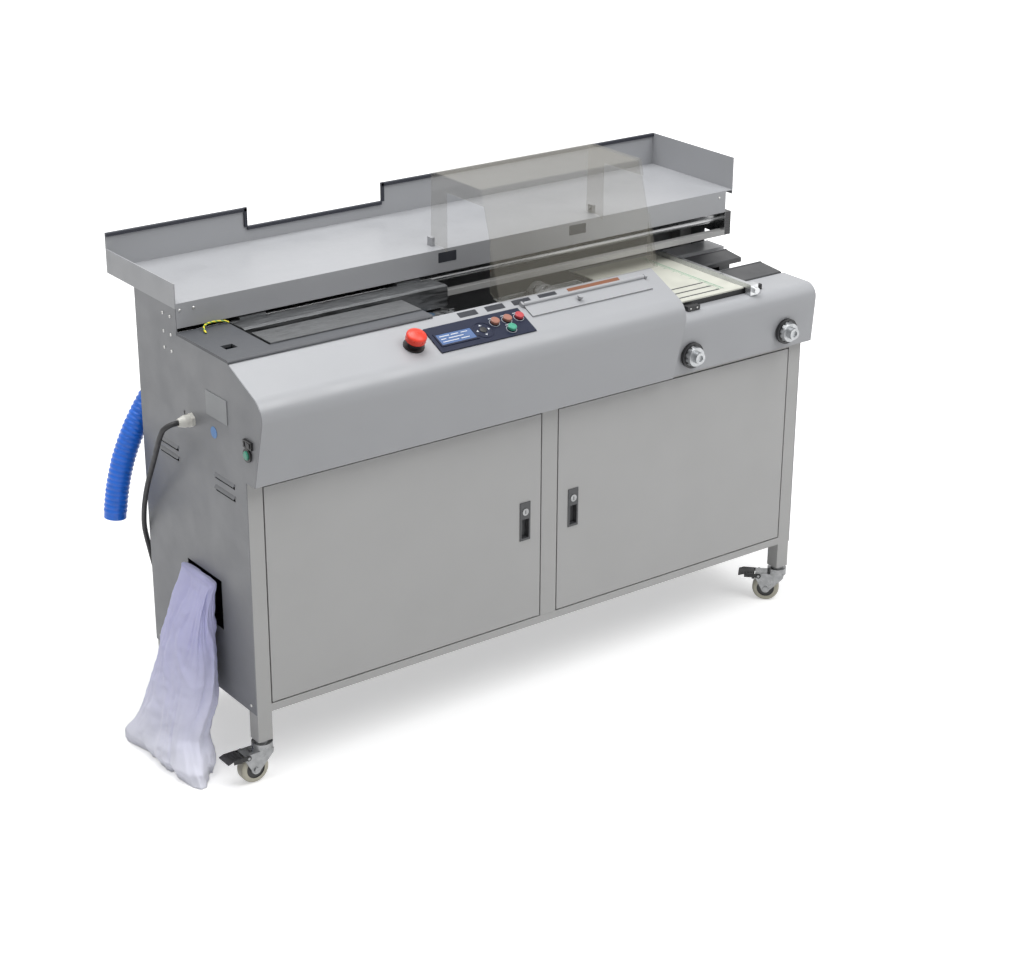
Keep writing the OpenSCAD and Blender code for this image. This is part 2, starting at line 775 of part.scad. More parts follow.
module waste_bag() {
    pts = [for (r = bag_rings, k = [0:bag_sides - 1]) bag_point(r, 360 * k / bag_sides)];
    n = bag_sides;
    m = len(bag_rings);
    sides = [for (i = [0:m - 2], k = [0:n - 1]) let (a = i * n + k, b = i * n + (k + 1) % n)
        each [[a, b + n, b], [a, a + n, b + n]]];
    color([0.85, 0.85, 0.92]) place() {
        polyhedron(concat(pts, [[-70, 186, bag_rings[0][0]], [-13, 189, bag_rings[m - 1][0]]]),
            concat(sides, [for (k = [0:n - 1]) [m * n, k, (k + 1) % n]],
                [for (k = [0:n - 1]) [m * n + 1, (m - 1) * n + (k + 1) % n, (m - 1) * n + k]]));
        // Neck held in the slot
        translate([-4, waste_y[0] + rest, waste_z[0] + rest])
            cube([18, waste_y[1] - waste_y[0] - 2 * rest, waste_z[1] - waste_z[0] - 6]);
    }
}

// A fork with its bearing cap, side plates and axle pin, trailing along +X from the stem
module fork(pedal) {
    cap_z = wheel_d + 5;
    difference() {
        union() {
            translate([0, 0, cap_z]) cylinder(r = 22, h = castor_h - 6 - cap_z);
            for (s = [-1, 1]) translate([0, s * (fork_in + 1.25), 0]) rotate([90, 0, 0])
                translate([0, 0, -1.25]) linear_extrude(2.5) {
                    polygon([[-18, cap_z + 2], [-16, cap_z - 8], [trail - 9, axle_z - 4],
                        [trail + 9, axle_z - 4], [trail + 24, cap_z - 12], [trail + 26, cap_z + 2]]);
                    translate([trail, axle_z]) circle(10);
                }
            translate([trail, 0, axle_z]) rotate([90, 0, 0]) translate([0, 0, -fork_in - 2.5])
                cylinder(r = axle_r, h = 2 * fork_in + 5);
            for (s = [-1, 1]) translate([trail, s * (fork_in + 4), axle_z]) rotate([90, 0, 0])
                translate([0, 0, -1.6]) cylinder(r = 6.5, h = 3.2, $fn = 6);
            translate([trail + 2, -fork_in - 1, cap_z]) cube([24, 2 * fork_in + 2, 2]);
            translate([0, -fork_in - 1, cap_z]) cube([trail + 4, 2 * fork_in + 2, 2]);
            if (pedal) translate([trail + 18, 0, cap_z - 4]) rotate([90, 0, 0])
                translate([0, 0, -fork_in - 6]) cylinder(r = 3, h = 2 * fork_in + 12);
        }
        translate([0, 0, cap_z - 1]) cylinder(r = stem_r + run, h = 40);
    }
}

module castor_wheel() {
    translate([trail, 0, axle_z]) rotate([90, 0, 0]) rotate_extrude() difference() {
        union() {
            translate([0, -wheel_w / 2]) square([wheel_d / 2 - 6, wheel_w]);
            translate([wheel_d / 2 - 9, 6 - wheel_w / 2]) square([9, wheel_w - 12]);
            for (s = [-1, 1]) translate([wheel_d / 2 - 6, s * (wheel_w / 2 - 6)])
                circle(6 + graze);
        }
        translate([-1, -20]) square([1 + axle_r + run, 40]);
        for (s = [-1, 1]) translate([11, s * (wheel_w / 2 + 1) - 2.5]) square([9, 5]);
    }
}

// Brake pedal: cheeks on the fork's pin, a tread plate and a shoe above the wheel
module pedal() {
    cap_z = wheel_d + 5;
    px = trail + 18;
    pz = cap_z - 4;
    cheek = fork_in + 2.5 + rest;
    difference() {
        union() {
            for (s = [-1, 1]) translate([px, s * (cheek + 1), pz]) rotate([90, 0, 0])
                translate([0, 0, -1]) cylinder(r = 6, h = 2);
            for (s = [-1, 1]) translate([px - 2, s * (cheek + 1) - 1, pz - 4]) cube([36, 2, 9]);
            translate([px + 12, -cheek - 2, pz + 3]) cube([26, 2 * cheek + 4, 2.5]);
            translate([px + 36, -cheek - 2, pz + 3]) rotate([0, 18, 0])
                cube([12, 2 * cheek + 4, 2.5]);
            // Brake shoe above the tread of the wheel
            translate([px + 10, -9, pz - 12]) cube([6, 18, 17]);
            for (k = [0:2]) translate([px + 16 + 7 * k, -12, pz + 5]) cube([3, 24, 1.5]);
        }
        translate([px, 0, pz]) rotate([90, 0, 0]) translate([0, 0, -40])
            cylinder(r = 3 + run, h = 80);
    }
}

// Puts a castor under a leg, trailing at the given angle
module castor_at(x, y, a) {
    translate([x, y, 0]) rotate(a) children();
}

module castor_mounts() {
    cap_z = wheel_d + 5;
    color(steel) place() {
        for (x = front_x) translate([x, leg_y, 0]) {
            translate([0, 0, castor_h - 5.5]) cylinder(r = 14, h = 5.5);
            translate([0, 0, cap_z + 0.5]) cylinder(r = stem_r, h = castor_h - cap_z + 5);
        }
        for (x = front_x) castor_at(x, rear_leg_y, x == front_x[0] ? 0 : 180) {
            fork(false);
            translate([0, 0, cap_z + 0.5]) cylinder(r = stem_r + run, h = castor_h - cap_z + 5);
            translate([0, 0, castor_h - 7]) cylinder(r = 14, h = 7);
        }
    }
}

module fork_left() { color(steel) place() castor_at(front_x[0], leg_y, front_turn[0]) fork(true); }
module fork_right() { color(steel) place() castor_at(front_x[1], leg_y, front_turn[1]) fork(true); }
module pedal_left() { color(black) place() castor_at(front_x[0], leg_y, front_turn[0]) pedal(); }
module pedal_right() { color(black) place() castor_at(front_x[1], leg_y, front_turn[1]) pedal(); }
module wheel_front_left() {
    color([0.80, 0.78, 0.68]) place() castor_at(front_x[0], leg_y, front_turn[0]) castor_wheel();
}
module wheel_front_right() {
    color([0.80, 0.78, 0.68]) place() castor_at(front_x[1], leg_y, front_turn[1]) castor_wheel();
}
module wheel_rear_left() {
    color([0.80, 0.78, 0.68]) place() castor_at(front_x[0], rear_leg_y, 0) castor_wheel();
}
module wheel_rear_right() {
    color([0.80, 0.78, 0.68]) place() castor_at(front_x[1], rear_leg_y, 180) castor_wheel();
}

// A door: front sheet with folded edges and pivot blocks, hinged near x = 0
module door(w) {
    t = sheet_t;
    difference() {
        union() {
            cube([w, t, door_h]);
            cube([t, 12, door_h]);
            translate([w - t, 0, 0]) cube([t, door_t, door_h]);
            for (z = [0, door_h - t]) translate([12, 0, z]) cube([w - 12, door_t, t]);
            // Pivot blocks at the top and bottom corners
            for (z = [0, door_h - 14]) cube_block(z);
            // A stiffener behind the sheet
            translate([w / 2 - 20, 0, 0]) cube([40, 12, door_h]);
        }
        translate([pivot_in, pivot_in, -1]) cylinder(r = door_pin_r + run, h = door_h + 2);
        // The pull's window, near the free edge
        translate([w - latch_in - pull_w / 2 + 2, -1, latch_z - door_z - pull_h / 2 + 2])
            cube([pull_w - 4, t + 2, pull_h - 4]);
    }
}

module cube_block(z) {
    translate([0, 0, z]) cube([12, 12, 14]);
}

module left_door() {
    color(cream) place() translate([left_door_x, 0, door_z]) door(left_door_w);
}
module right_door() {
    color(cream) place() translate([right_door_x + right_door_w, 0, door_z]) mirror([1, 0, 0])
        door(right_door_w);
}

// Flush pull: a dished plate with a rim and the lock's bore, centred on the latch
module pull() {
    difference() {
        union() {
            translate([-pull_w / 2, -1.8, -pull_h / 2]) cube([pull_w, 1.8, pull_h]);
            translate([-pull_w / 2 + 2.3, -1, -pull_h / 2 + 2.3])
                cube([pull_w - 4.6, 15, pull_h - 4.6]);
        }
        translate([-pull_w / 2 + 4, -3, -pull_h / 2 + 5]) cube([pull_w - 8, 13, 44]);
        translate([0, 0, 22]) rotate([90, 0, 0]) translate([0, 0, -20])
            cylinder(r = 8 + run, h = 40);
    }
}

// Key cylinder with its cam behind the pull, hanging down when unlocked
module lock() {
    translate([0, 0, 22]) {
        rotate([90, 0, 0]) translate([0, 0, -door_t - 4]) difference() {
            cylinder(r = 8, h = door_t + 7.2);
            translate([-1, -4, door_t + 5]) cube([2, 8, 4]);
        }
        translate([-6, door_t + 1.5, -latch_in - 12]) cube([12, 2.5, latch_in + 20]);
    }
}

latch_left_x = left_door_x + left_door_w - latch_in;
latch_right_x = right_door_x + latch_in;
module left_pull() { color([0.3, 0.31, 0.32]) place() translate([latch_left_x, 0, latch_z]) pull(); }
module right_pull() { color([0.3, 0.31, 0.32]) place() translate([latch_right_x, 0, latch_z]) pull(); }
module left_lock() { color(steel) place() translate([latch_left_x, 0, latch_z]) lock(); }
module right_lock() { color(steel) place() translate([latch_right_x, 0, latch_z]) lock(); }

module guard() {
    y1 = guard_front_y;
    z1 = hood_top + rest;
    y2 = y1 + guard_lean;
    side_gap = 8;
    book_top = guard_top - 34;
    color([0.75, 0.72, 0.62, 0.35]) place() {
        for (x = [guard_x, guard_x + guard_l - guard_t]) difference() {
            along_x(x, guard_t) difference() {
                polygon([[y1, z1], [y2, guard_top], [guard_rear_y + 12, guard_top],
                    [guard_rear_y + 16, guard_axis_z - 8], [guard_rear_y, guard_axis_z - 8],
                    [shelf_y - 2, shelf_z + 4], [slot_y[1], z1 + 60], [slot_y[0], z1 + 12],
                    [y1 + 12, z1]]);
                // The book block passes here
                translate([slot_y[0], z1 - 10]) square([slot_y[1] - slot_y[0], book_top - z1 + 10]);
            }
            translate([x - 1, guard_axis_y, guard_axis_z]) rotate([0, 90, 0])
                cylinder(r = guard_pin_r + run, h = guard_t + 2);
        }
        along_x(guard_x + guard_t, guard_l - 2 * guard_t) polygon([[y1, z1], [y2, guard_top],
            [guard_rear_y + 12, guard_top], [guard_rear_y + 12, guard_top - guard_t],
            [y2 + guard_t, guard_top - guard_t], [y1 + guard_t, z1]]);
    }
}

module hatch() {
    color(cream) place() on_slope(hatch_x, hatch_s) difference() {
        union() {
            translate([0.5, -hatch_w, rest]) cube([hatch_l - 1, hatch_w, 3]);
            translate([0.5, 0, 5]) rotate([0, 90, 0]) cylinder(r = 4.4, h = hatch_l - 1);
            // Lifting knob
            translate([132, -hatch_w + 16, 3]) cylinder(r = 3, h = 8);
            translate([132, -hatch_w + 16, 9]) cylinder(r = 6, h = 5);
        }
        for (x = [-1, hatch_l - 9]) translate([x, 0, 5]) rotate([0, 90, 0])
            cylinder(r = 2.5 + run, h = 10);
    }
}

module carriage() {
    saddles = [jaw_x + 25, jaw_x + jaw_l - 85];
    saddle_y = rear_jaw_y + rear_jaw_t;
    pins = [jaw_x + 12, jaw_x + front_jaw_l - 12];
    color(steel) place() difference() {
        union() {
            // Rear jaw with a bevelled top
            along_x(jaw_x, jaw_l) polygon([[rear_jaw_y, jaw_z], [rear_jaw_y + rear_jaw_t, jaw_z],
                [rear_jaw_y + rear_jaw_t, jaw_top - 3], [rear_jaw_y + 10, jaw_top],
                [rear_jaw_y, jaw_top - 2]]);
            // Saddles that ride on the rods, and their tie plate
            for (x = saddles) translate([x, saddle_y - 1, lip_top + 3])
                cube([60, rod_rear_y + 18 - saddle_y, skirt_z - lip_top - 6]);
            translate([saddles[0] + 59, rod_front_y + 20, skirt_z - 11])
                cube([saddles[1] - saddles[0] - 58, 60, 8]);
            // Guide pins of the front jaw
            for (x = pins) translate([x, front_jaw_y - jaw_open + 2, pin_z]) rotate([-90, 0, 0])
                cylinder(r = pin_r, h = rear_jaw_y - front_jaw_y + jaw_open);
        }
        for (y = [rod_front_y, rod_rear_y]) translate([0, y, rod_z]) rotate([0, 90, 0])
            cylinder(r = rod_r + run, h = body_l);
    }
}

module front_jaw() {
    pins = [jaw_x + 12, jaw_x + front_jaw_l - 12];
    color(dark_grey) place() difference() {
        union() {
            translate([jaw_x, front_jaw_y, jaw_z]) cube([front_jaw_l, front_jaw_t, jaw_h]);
            // Cover plate towards the deck
            translate([jaw_x, front_jaw_y - jaw_open - 3, deck_z + rest])
                cube([front_jaw_l, jaw_open + 4, jaw_top - deck_z - rest]);
        }
        for (x = pins) translate([x, front_jaw_y - 1, pin_z]) rotate([-90, 0, 0])
            cylinder(r = pin_r + run, h = front_jaw_t + 2);
    }
}

// A nip bar: long plate with a rolled rear edge and two lugs on the cross rods
module nip_bar(y, w) {
    difference() {
        union() {
            along_x(nip_x, nip_l) union() {
                polygon([[y, nip_top - 18], [y + w, nip_top - 18], [y + w, nip_top - 6],
                    [y + w - 6, nip_top - 1], [y + 2, nip_top - 7], [y, nip_top - 9]]);
                translate([y + w - 6, nip_top - 6]) circle(6 + graze);
            }
            for (x = nip_rods) translate([x - 16, y + 6, nip_rod_z - 14])
                cube([32, w - 12, nip_top - 10 - nip_rod_z + 14]);
        }
        for (x = nip_rods) translate([x, y - 10, nip_rod_z]) rotate([-90, 0, 0])
            cylinder(r = nip_rod_r + run, h = w + 20);
    }
}

module nip_front() { color([0.22, 0.22, 0.24]) place() nip_bar(nip_front_y, nip_front_w); }
module nip_rear() { color([0.22, 0.22, 0.24]) place() nip_bar(nip_rear_y, nip_rear_w); }

module fence() {
    y0 = -6;
    z0 = table_z + table_t + rest;
    color([0.86, 0.86, 0.84]) place() {
        // Bar, front foot on the hood and rear foot on the apron
        translate([fence_x, y0, z0]) cube([fence_w, apron_y + 44 - y0, 10]);
        translate([fence_x, y0 - 3, cover_z + rest]) cube([22, 16.7, z0 - cover_z + 9.7]);
        translate([fence_x + 11, y0 - 3, cover_z + 13]) rotate([90, 0, 0]) cylinder(r = 7, h = 10);
        translate([fence_x, apron_y + 40 + rest, table_z + rest]) cube([fence_w, 6, 10]);
    }
}

// Hand knob: black flange, fluted grip, hub and shaft
module knob(x) {
    translate([x, knob_y, knob_z]) rotate([90, 0, 0]) difference() {
        union() {
            cylinder(r = 29, h = 7);
            translate([0, 0, 7]) cylinder(r1 = 24, r2 = 21, h = 12);
            translate([0, 0, 19]) cylinder(r = 13, h = 12);
            translate([0, 0, -40]) cylinder(r = 6, h = 41);
        }
        for (k = [0:11]) rotate(30 * k) translate([26, 0, 8]) cylinder(r = 4, h = 12);
        translate([0, 0, 27]) cylinder(r = 7, h = 6);
    }
}
module knob_left() { color([0.6, 0.6, 0.6]) place() knob(knob_x[0]); }
module knob_right() { color([0.6, 0.6, 0.6]) place() knob(knob_x[1]); }

module panel_button(k) {
    place() on_slope(buttons[k][0], buttons[k][1]) {
        translate([0, 0, -10]) cylinder(r = 4, h = panel_t + 14);
        translate([0, 0, panel_t + 3]) cylinder(r = button_r, h = 5);
        translate([0, 0, panel_t + 8]) cylinder(r1 = button_r, r2 = button_r - 1.5, h = 1.2);
    }
}
module mode_button() { color([0.75, 0.45, 0.35]) panel_button(0); }
module reset_button() { color([0.65, 0.50, 0.45]) panel_button(1); }
module stop_button() { color([0.70, 0.25, 0.30]) panel_button(2); }
module start_button() { color([0.20, 0.60, 0.50]) panel_button(3); }

module estop_head() {
    color([0.85, 0.18, 0.10]) place() on_slope(estop_at[0], estop_at[1]) {
        translate([0, 0, -20]) cylinder(r = 10, h = 38);
        translate([0, 0, 17]) rotate_extrude() intersection() {
            square([estop_r, 20]);
            union() {
                square([estop_r, 10]);
                translate([0, 10]) scale([1, 0.42]) circle(estop_r);
            }
        }
    }
}

module rocker() {
    color(black) place() translate([0, rocker_y, rocker_z - 4.7]) difference() {
        linear_extrude(9.4) polygon([[-2, -11], [-6.5, -11], [-5.6, 0], [-3.2, 11], [2, 9.5], [2, -9.5]]);
        translate([-3.2, 0, -1]) cylinder(r = 1.5 + run, h = 12);
    }
}

module side_button() {
    color([0.25, 0.60, 0.40]) place() translate([0, side_btn_y, side_btn_z]) rotate([0, -90, 0])
        union() {
            translate([0, 0, -14]) cylinder(r = 9, h = 20);
            translate([0, 0, 6]) cylinder(r1 = 9, r2 = 7, h = 1.5);
        }
}

module cutter_disc() {
    teeth = 12;
    z = jaw_z - 14;
    color(steel) place() translate([cutter_x, tool_y, z]) difference() {
        union() {
            cylinder(r = cutter_r - 5, h = 8);
            cylinder(r = 22, h = 10);
            for (k = [0:teeth - 1]) rotate(360 / teeth * k) translate([cutter_r - 14, -3, 1])
                cube([14, 6, 10.5]);
        }
        translate([0, 0, -1]) cylinder(r = 12 + run, h = 20);
    }
}

module glue_roller() {
    l = tank_w - 6 - 4;
    color(steel) place() translate([roller_x, tool_y, roller_z]) rotate([90, 0, 0]) {
        translate([0, 0, -l / 2]) difference() {
            cylinder(r = roller_r, h = l);
            for (k = [1:7]) translate([0, 0, k * l / 8]) rotate_extrude()
                translate([roller_r - 1, 0]) square([3, 2]);
        }
        translate([0, 0, -tank_w / 2 - 12]) cylinder(r = 8, h = tank_w + 24);
    }
}

// Smooth points through a hand-set route: n steps a span
function spline(p, n) = [for (i = [0:len(p) - 2], k = [0:n - 1])
    let (t = k / n, a = p[max(i - 1, 0)], b = p[i], c = p[i + 1], d = p[min(i + 2, len(p) - 1)])
    0.5 * (2 * b + (c - a) * t + (2 * a - 5 * b + 4 * c - d) * t * t
        + (3 * b - a - 3 * c + d) * t * t * t), p[len(p) - 1]];
function unit(v) = v / norm(v);
function tangents(p) = [for (i = [0:len(p) - 1])
    unit(p[min(i + 1, len(p) - 1)] - p[max(i - 1, 0)])];
// Frames carried along the route without twist
function carry(t, u, i = 0, out = []) = i == len(t) ? out
    : let (v = unit(u - (u * t[i]) * t[i])) carry(t, v, i + 1, concat(out, [v]));
// Skin of a tube: rings of n points with their own radii
function tube_rings(p, r, n, u0) =
    let (t = tangents(p), u = carry(t, u0))
    [for (i = [0:len(p) - 1], k = [0:n - 1]) let (w = cross(t[i], u[i]), a = 360 * k / n)
        p[i] + r[i] * (cos(a) * u[i] + sin(a) * w)];
function skin(m, n, off, flip) = [for (i = [0:m - 2], k = [0:n - 1])
    let (a = off + i * n + k, b = off + i * n + (k + 1) % n)
    each flip ? [[a, b + n, b], [a, a + n, b + n]] : [[a, b, b + n], [a, b + n, a + n]]];

module solid_tube(p, r, n, u0) {
    m = len(p);
    pts = tube_rings(p, [for (q = p) r], n, u0);
    caps = [for (k = [0:n - 1]) each [[m * n, k, (k + 1) % n],
        [m * n + 1, (m - 1) * n + (k + 1) % n, (m - 1) * n + k]]];
    polyhedron(concat(pts, [p[0], p[m - 1]]), concat(skin(m, n, 0, true), caps));
}

// Points along a route at an even step
function lengths(p, i = 1, out = [0]) = i == len(p) ? out
    : lengths(p, i + 1, concat(out, [out[i - 1] + norm(p[i] - p[i - 1])]));
function at_length(p, s, d, i = 1) = i == len(p) - 1 || s[i] >= d
    ? p[i - 1] + (p[i] - p[i - 1]) * (d - s[i - 1]) / (s[i] - s[i - 1]) : at_length(p, s, d, i + 1);

module hose() {
    fine = spline(hose_pts, 6);
    s = lengths(fine);
    total = s[len(s) - 1];
    plain = hose_d;
    ribs = floor((total - 2 * plain) / rib_pitch);
    pitch = (total - 2 * plain) / ribs;
    cuff = 8;
    marks = concat([0, cuff], [for (k = [0:ribs - 1]) each [plain + k * pitch + pitch * 0.1,
        plain + k * pitch + pitch * 0.6]], [total]);
    collar = hose_d / 2 - 1.5;
    radii = concat([collar, collar], [for (k = [0:ribs - 1]) each [hose_d / 2, hose_d / 2 - 3]],
        [hose_d / 2 - 3]);
    p = [for (d = marks) at_length(fine, s, d)];
    m = len(p);
    n = 8;
    outer = tube_rings(p, radii, n, [0, 1, 0]);
    inner = tube_rings(p, [for (q = p) hose_d / 2 - hose_wall], n, [0, 1, 0]);
    ends = [for (k = [0:n - 1]) let (j = (k + 1) % n, e = (m - 1) * n) each [
        [k, m * n + j, m * n + k], [k, j, m * n + j],
        [e + k, m * n + e + k, m * n + e + j], [e + k, m * n + e + j, e + j]]];
    color([0.10, 0.30, 0.72]) place() polyhedron(concat(outer, inner),
        concat(skin(m, n, 0, true), skin(m, n, m * n, false), ends));
}

module power_cable() {
    color(black) place() solid_tube(spline(cable_pts, 3), cable_d / 2, 8, [0, 0, 1]);
}

// The coil: in by half its turns, up a layer in half a turn, then out again
coil_in = coil_out - coil_pitch * layer_turns;
function coil_r(u) = u < layer_turns ? coil_out - coil_pitch * u
    : u < layer_turns + 0.5 ? coil_in : coil_in + coil_pitch * (u - layer_turns - 0.5);
function coil_h(u) = cable_d / 2 + coil_pitch * min(1, max(0, (u - layer_turns) / 0.5));
function coil_point(u) = [coil_c[0] + coil_r(u) * sin(360 * u),
    coil_c[1] + coil_r(u) * cos(360 * u), coil_h(u)];
coil_path = concat([[coil_c[0] - cable_d, coil_c[1] + coil_out, cable_d / 2]],
    [for (k = [0:coil_turns * coil_ring_n]) coil_point(k / coil_ring_n)],
    [for (d = [0.5, 1.8]) coil_point(coil_turns) + [cable_d * d, 0, 0]]);
coil_gaps = [for (i = [0:len(coil_path) - 1], j = [i + 8:1:len(coil_path) - 1])
    norm(coil_path[i] - coil_path[j]) - cable_d];

module cable_coil() {
    echo(least_coil_gap = min(coil_gaps));
    color(black) place() solid_tube(coil_path, cable_d / 2, 6, [0, 0, 1]);
}

module cable_tie() {
    h = coil_pitch + cable_d + 2;
    lo = coil_in - cable_d / 2 - 2;
    hi = coil_out - coil_pitch / 2 + cable_d / 2 + 2;
    color(black) place() translate([coil_c[0], coil_c[1], 0]) rotate(90) difference() {
        translate([-hi, -5, 0.2]) cube([hi - lo, 10, h]);
        translate([-hi + 1.5, -6, -1]) cube([hi - lo - 3, 12, h - 0.3]);
    }
}

module power_plug() {
    end = coil_path[len(coil_path) - 1];
    color(black) place() translate(end) rotate([0, 90, 0]) {
        cylinder(r1 = cable_d / 2 + 0.5, r2 = 9, h = 26);
        translate([0, 0, 26]) cylinder(r1 = 14, r2 = 18, h = 24);
        translate([0, 0, 50]) cylinder(r = 18, h = 10);
        for (s = [-1, 1]) translate([0, 9.5 * s, 60]) cylinder(r = 2.4, h = 19);
    }
}

frame_posts();
frame_rails();
left_panel();
right_panel();
rear_panel();
floor_panel();
bed_plate();
main_hood();
cover_hood();
deck();
shelf();
guide_rails();
control_panel();
switch_rings();
cable_gland();
cover_table();
table_rail();
glue_tank();
motors();
electrics_box();
hose_outlet();
waste_bag();
castor_mounts();
left_door();
right_door();
left_pull();
right_pull();
left_lock();
right_lock();
guard();
hatch();
carriage();
front_jaw();
nip_front();
nip_rear();
fence();
knob_left();
knob_right();
mode_button();
reset_button();
stop_button();
start_button();
estop_head();
rocker();
side_button();
cutter_disc();
glue_roller();
fork_left();
fork_right();
pedal_left();
pedal_right();
wheel_front_left();
wheel_front_right();
wheel_rear_left();
wheel_rear_right();
hose();
power_cable();
cable_coil();
cable_tie();
power_plug();
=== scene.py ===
"""A floor-standing glue binder on castors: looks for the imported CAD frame."""
import bmesh
import bpy
import json
from math import sin, cos, pi, radians, sqrt, atan2, exp
from mathutils import Vector, Matrix, noise


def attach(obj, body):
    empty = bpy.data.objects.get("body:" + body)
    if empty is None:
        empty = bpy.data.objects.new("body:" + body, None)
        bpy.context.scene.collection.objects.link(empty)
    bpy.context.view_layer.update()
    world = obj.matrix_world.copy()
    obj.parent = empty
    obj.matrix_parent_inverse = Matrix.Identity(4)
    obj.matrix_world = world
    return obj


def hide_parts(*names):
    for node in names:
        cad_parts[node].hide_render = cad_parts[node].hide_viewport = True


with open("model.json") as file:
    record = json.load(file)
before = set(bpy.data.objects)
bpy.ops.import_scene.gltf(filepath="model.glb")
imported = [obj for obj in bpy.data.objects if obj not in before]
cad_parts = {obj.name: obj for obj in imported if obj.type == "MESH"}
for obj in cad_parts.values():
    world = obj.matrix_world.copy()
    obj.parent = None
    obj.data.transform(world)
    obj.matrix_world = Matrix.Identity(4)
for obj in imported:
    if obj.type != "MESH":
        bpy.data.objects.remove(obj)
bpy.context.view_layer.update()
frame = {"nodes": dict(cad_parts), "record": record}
N = frame["nodes"]
col = bpy.context.scene.collection

# Places are in the cabinet's own millimetres: X from its left face, Y from its front and Z from
# the floor. P turns one into a point of the shared frame, in metres.
OX, OY = 656.5, 236.464    # the frame's origin
BODY_L = 1450              # length of the cabinet
ROD_END = 1430             # where the rods enter their end block
KNOB_FACE_Y = -38.5        # rear of the hand knobs' bright part
SLOPE = radians(24)        # fall of the hood's top
HOOD_REAR = (53, 888)      # Y and Z of the rear edge of the hood's top
PANEL = (429, 103)         # left edge of the control panel, and its lower edge down the slope
PANEL_T = 3                # its thickness
PAD = (551, 69)            # centre of its round key pad
TABLE_Z = 810              # top of the cover table
SKIRT_Y = 252              # front face of the shelf's skirt


def P(x, y, z):
    return Vector(((x - OX) / 1000, (y - OY) / 1000, z / 1000))


# ---------------------------------------------------------------- camera
def camera():
    """Placed by a fit to the photograph's straight edges."""
    yaw, pitch, roll = 0.637087, 0.399856, 0.005183
    at = P(-1880.1, -3396.6, 2297.5)
    f = Vector((sin(yaw) * cos(pitch), cos(yaw) * cos(pitch), -sin(pitch)))
    r = Vector((cos(yaw), -sin(yaw), 0))
    u = r.cross(f)
    r, u = cos(roll) * r + sin(roll) * u, cos(roll) * u - sin(roll) * r
    cam = bpy.data.cameras.new("camera")
    cam.sensor_width = 36
    cam.lens = 76.80
    cam.clip_end = 60
    o = bpy.data.objects.new("camera", cam)
    m = Matrix((r, u, -f)).transposed().to_4x4()
    m.translation = at
    o.matrix_world = m
    col.objects.link(o)
    bpy.context.scene.camera = o


camera()


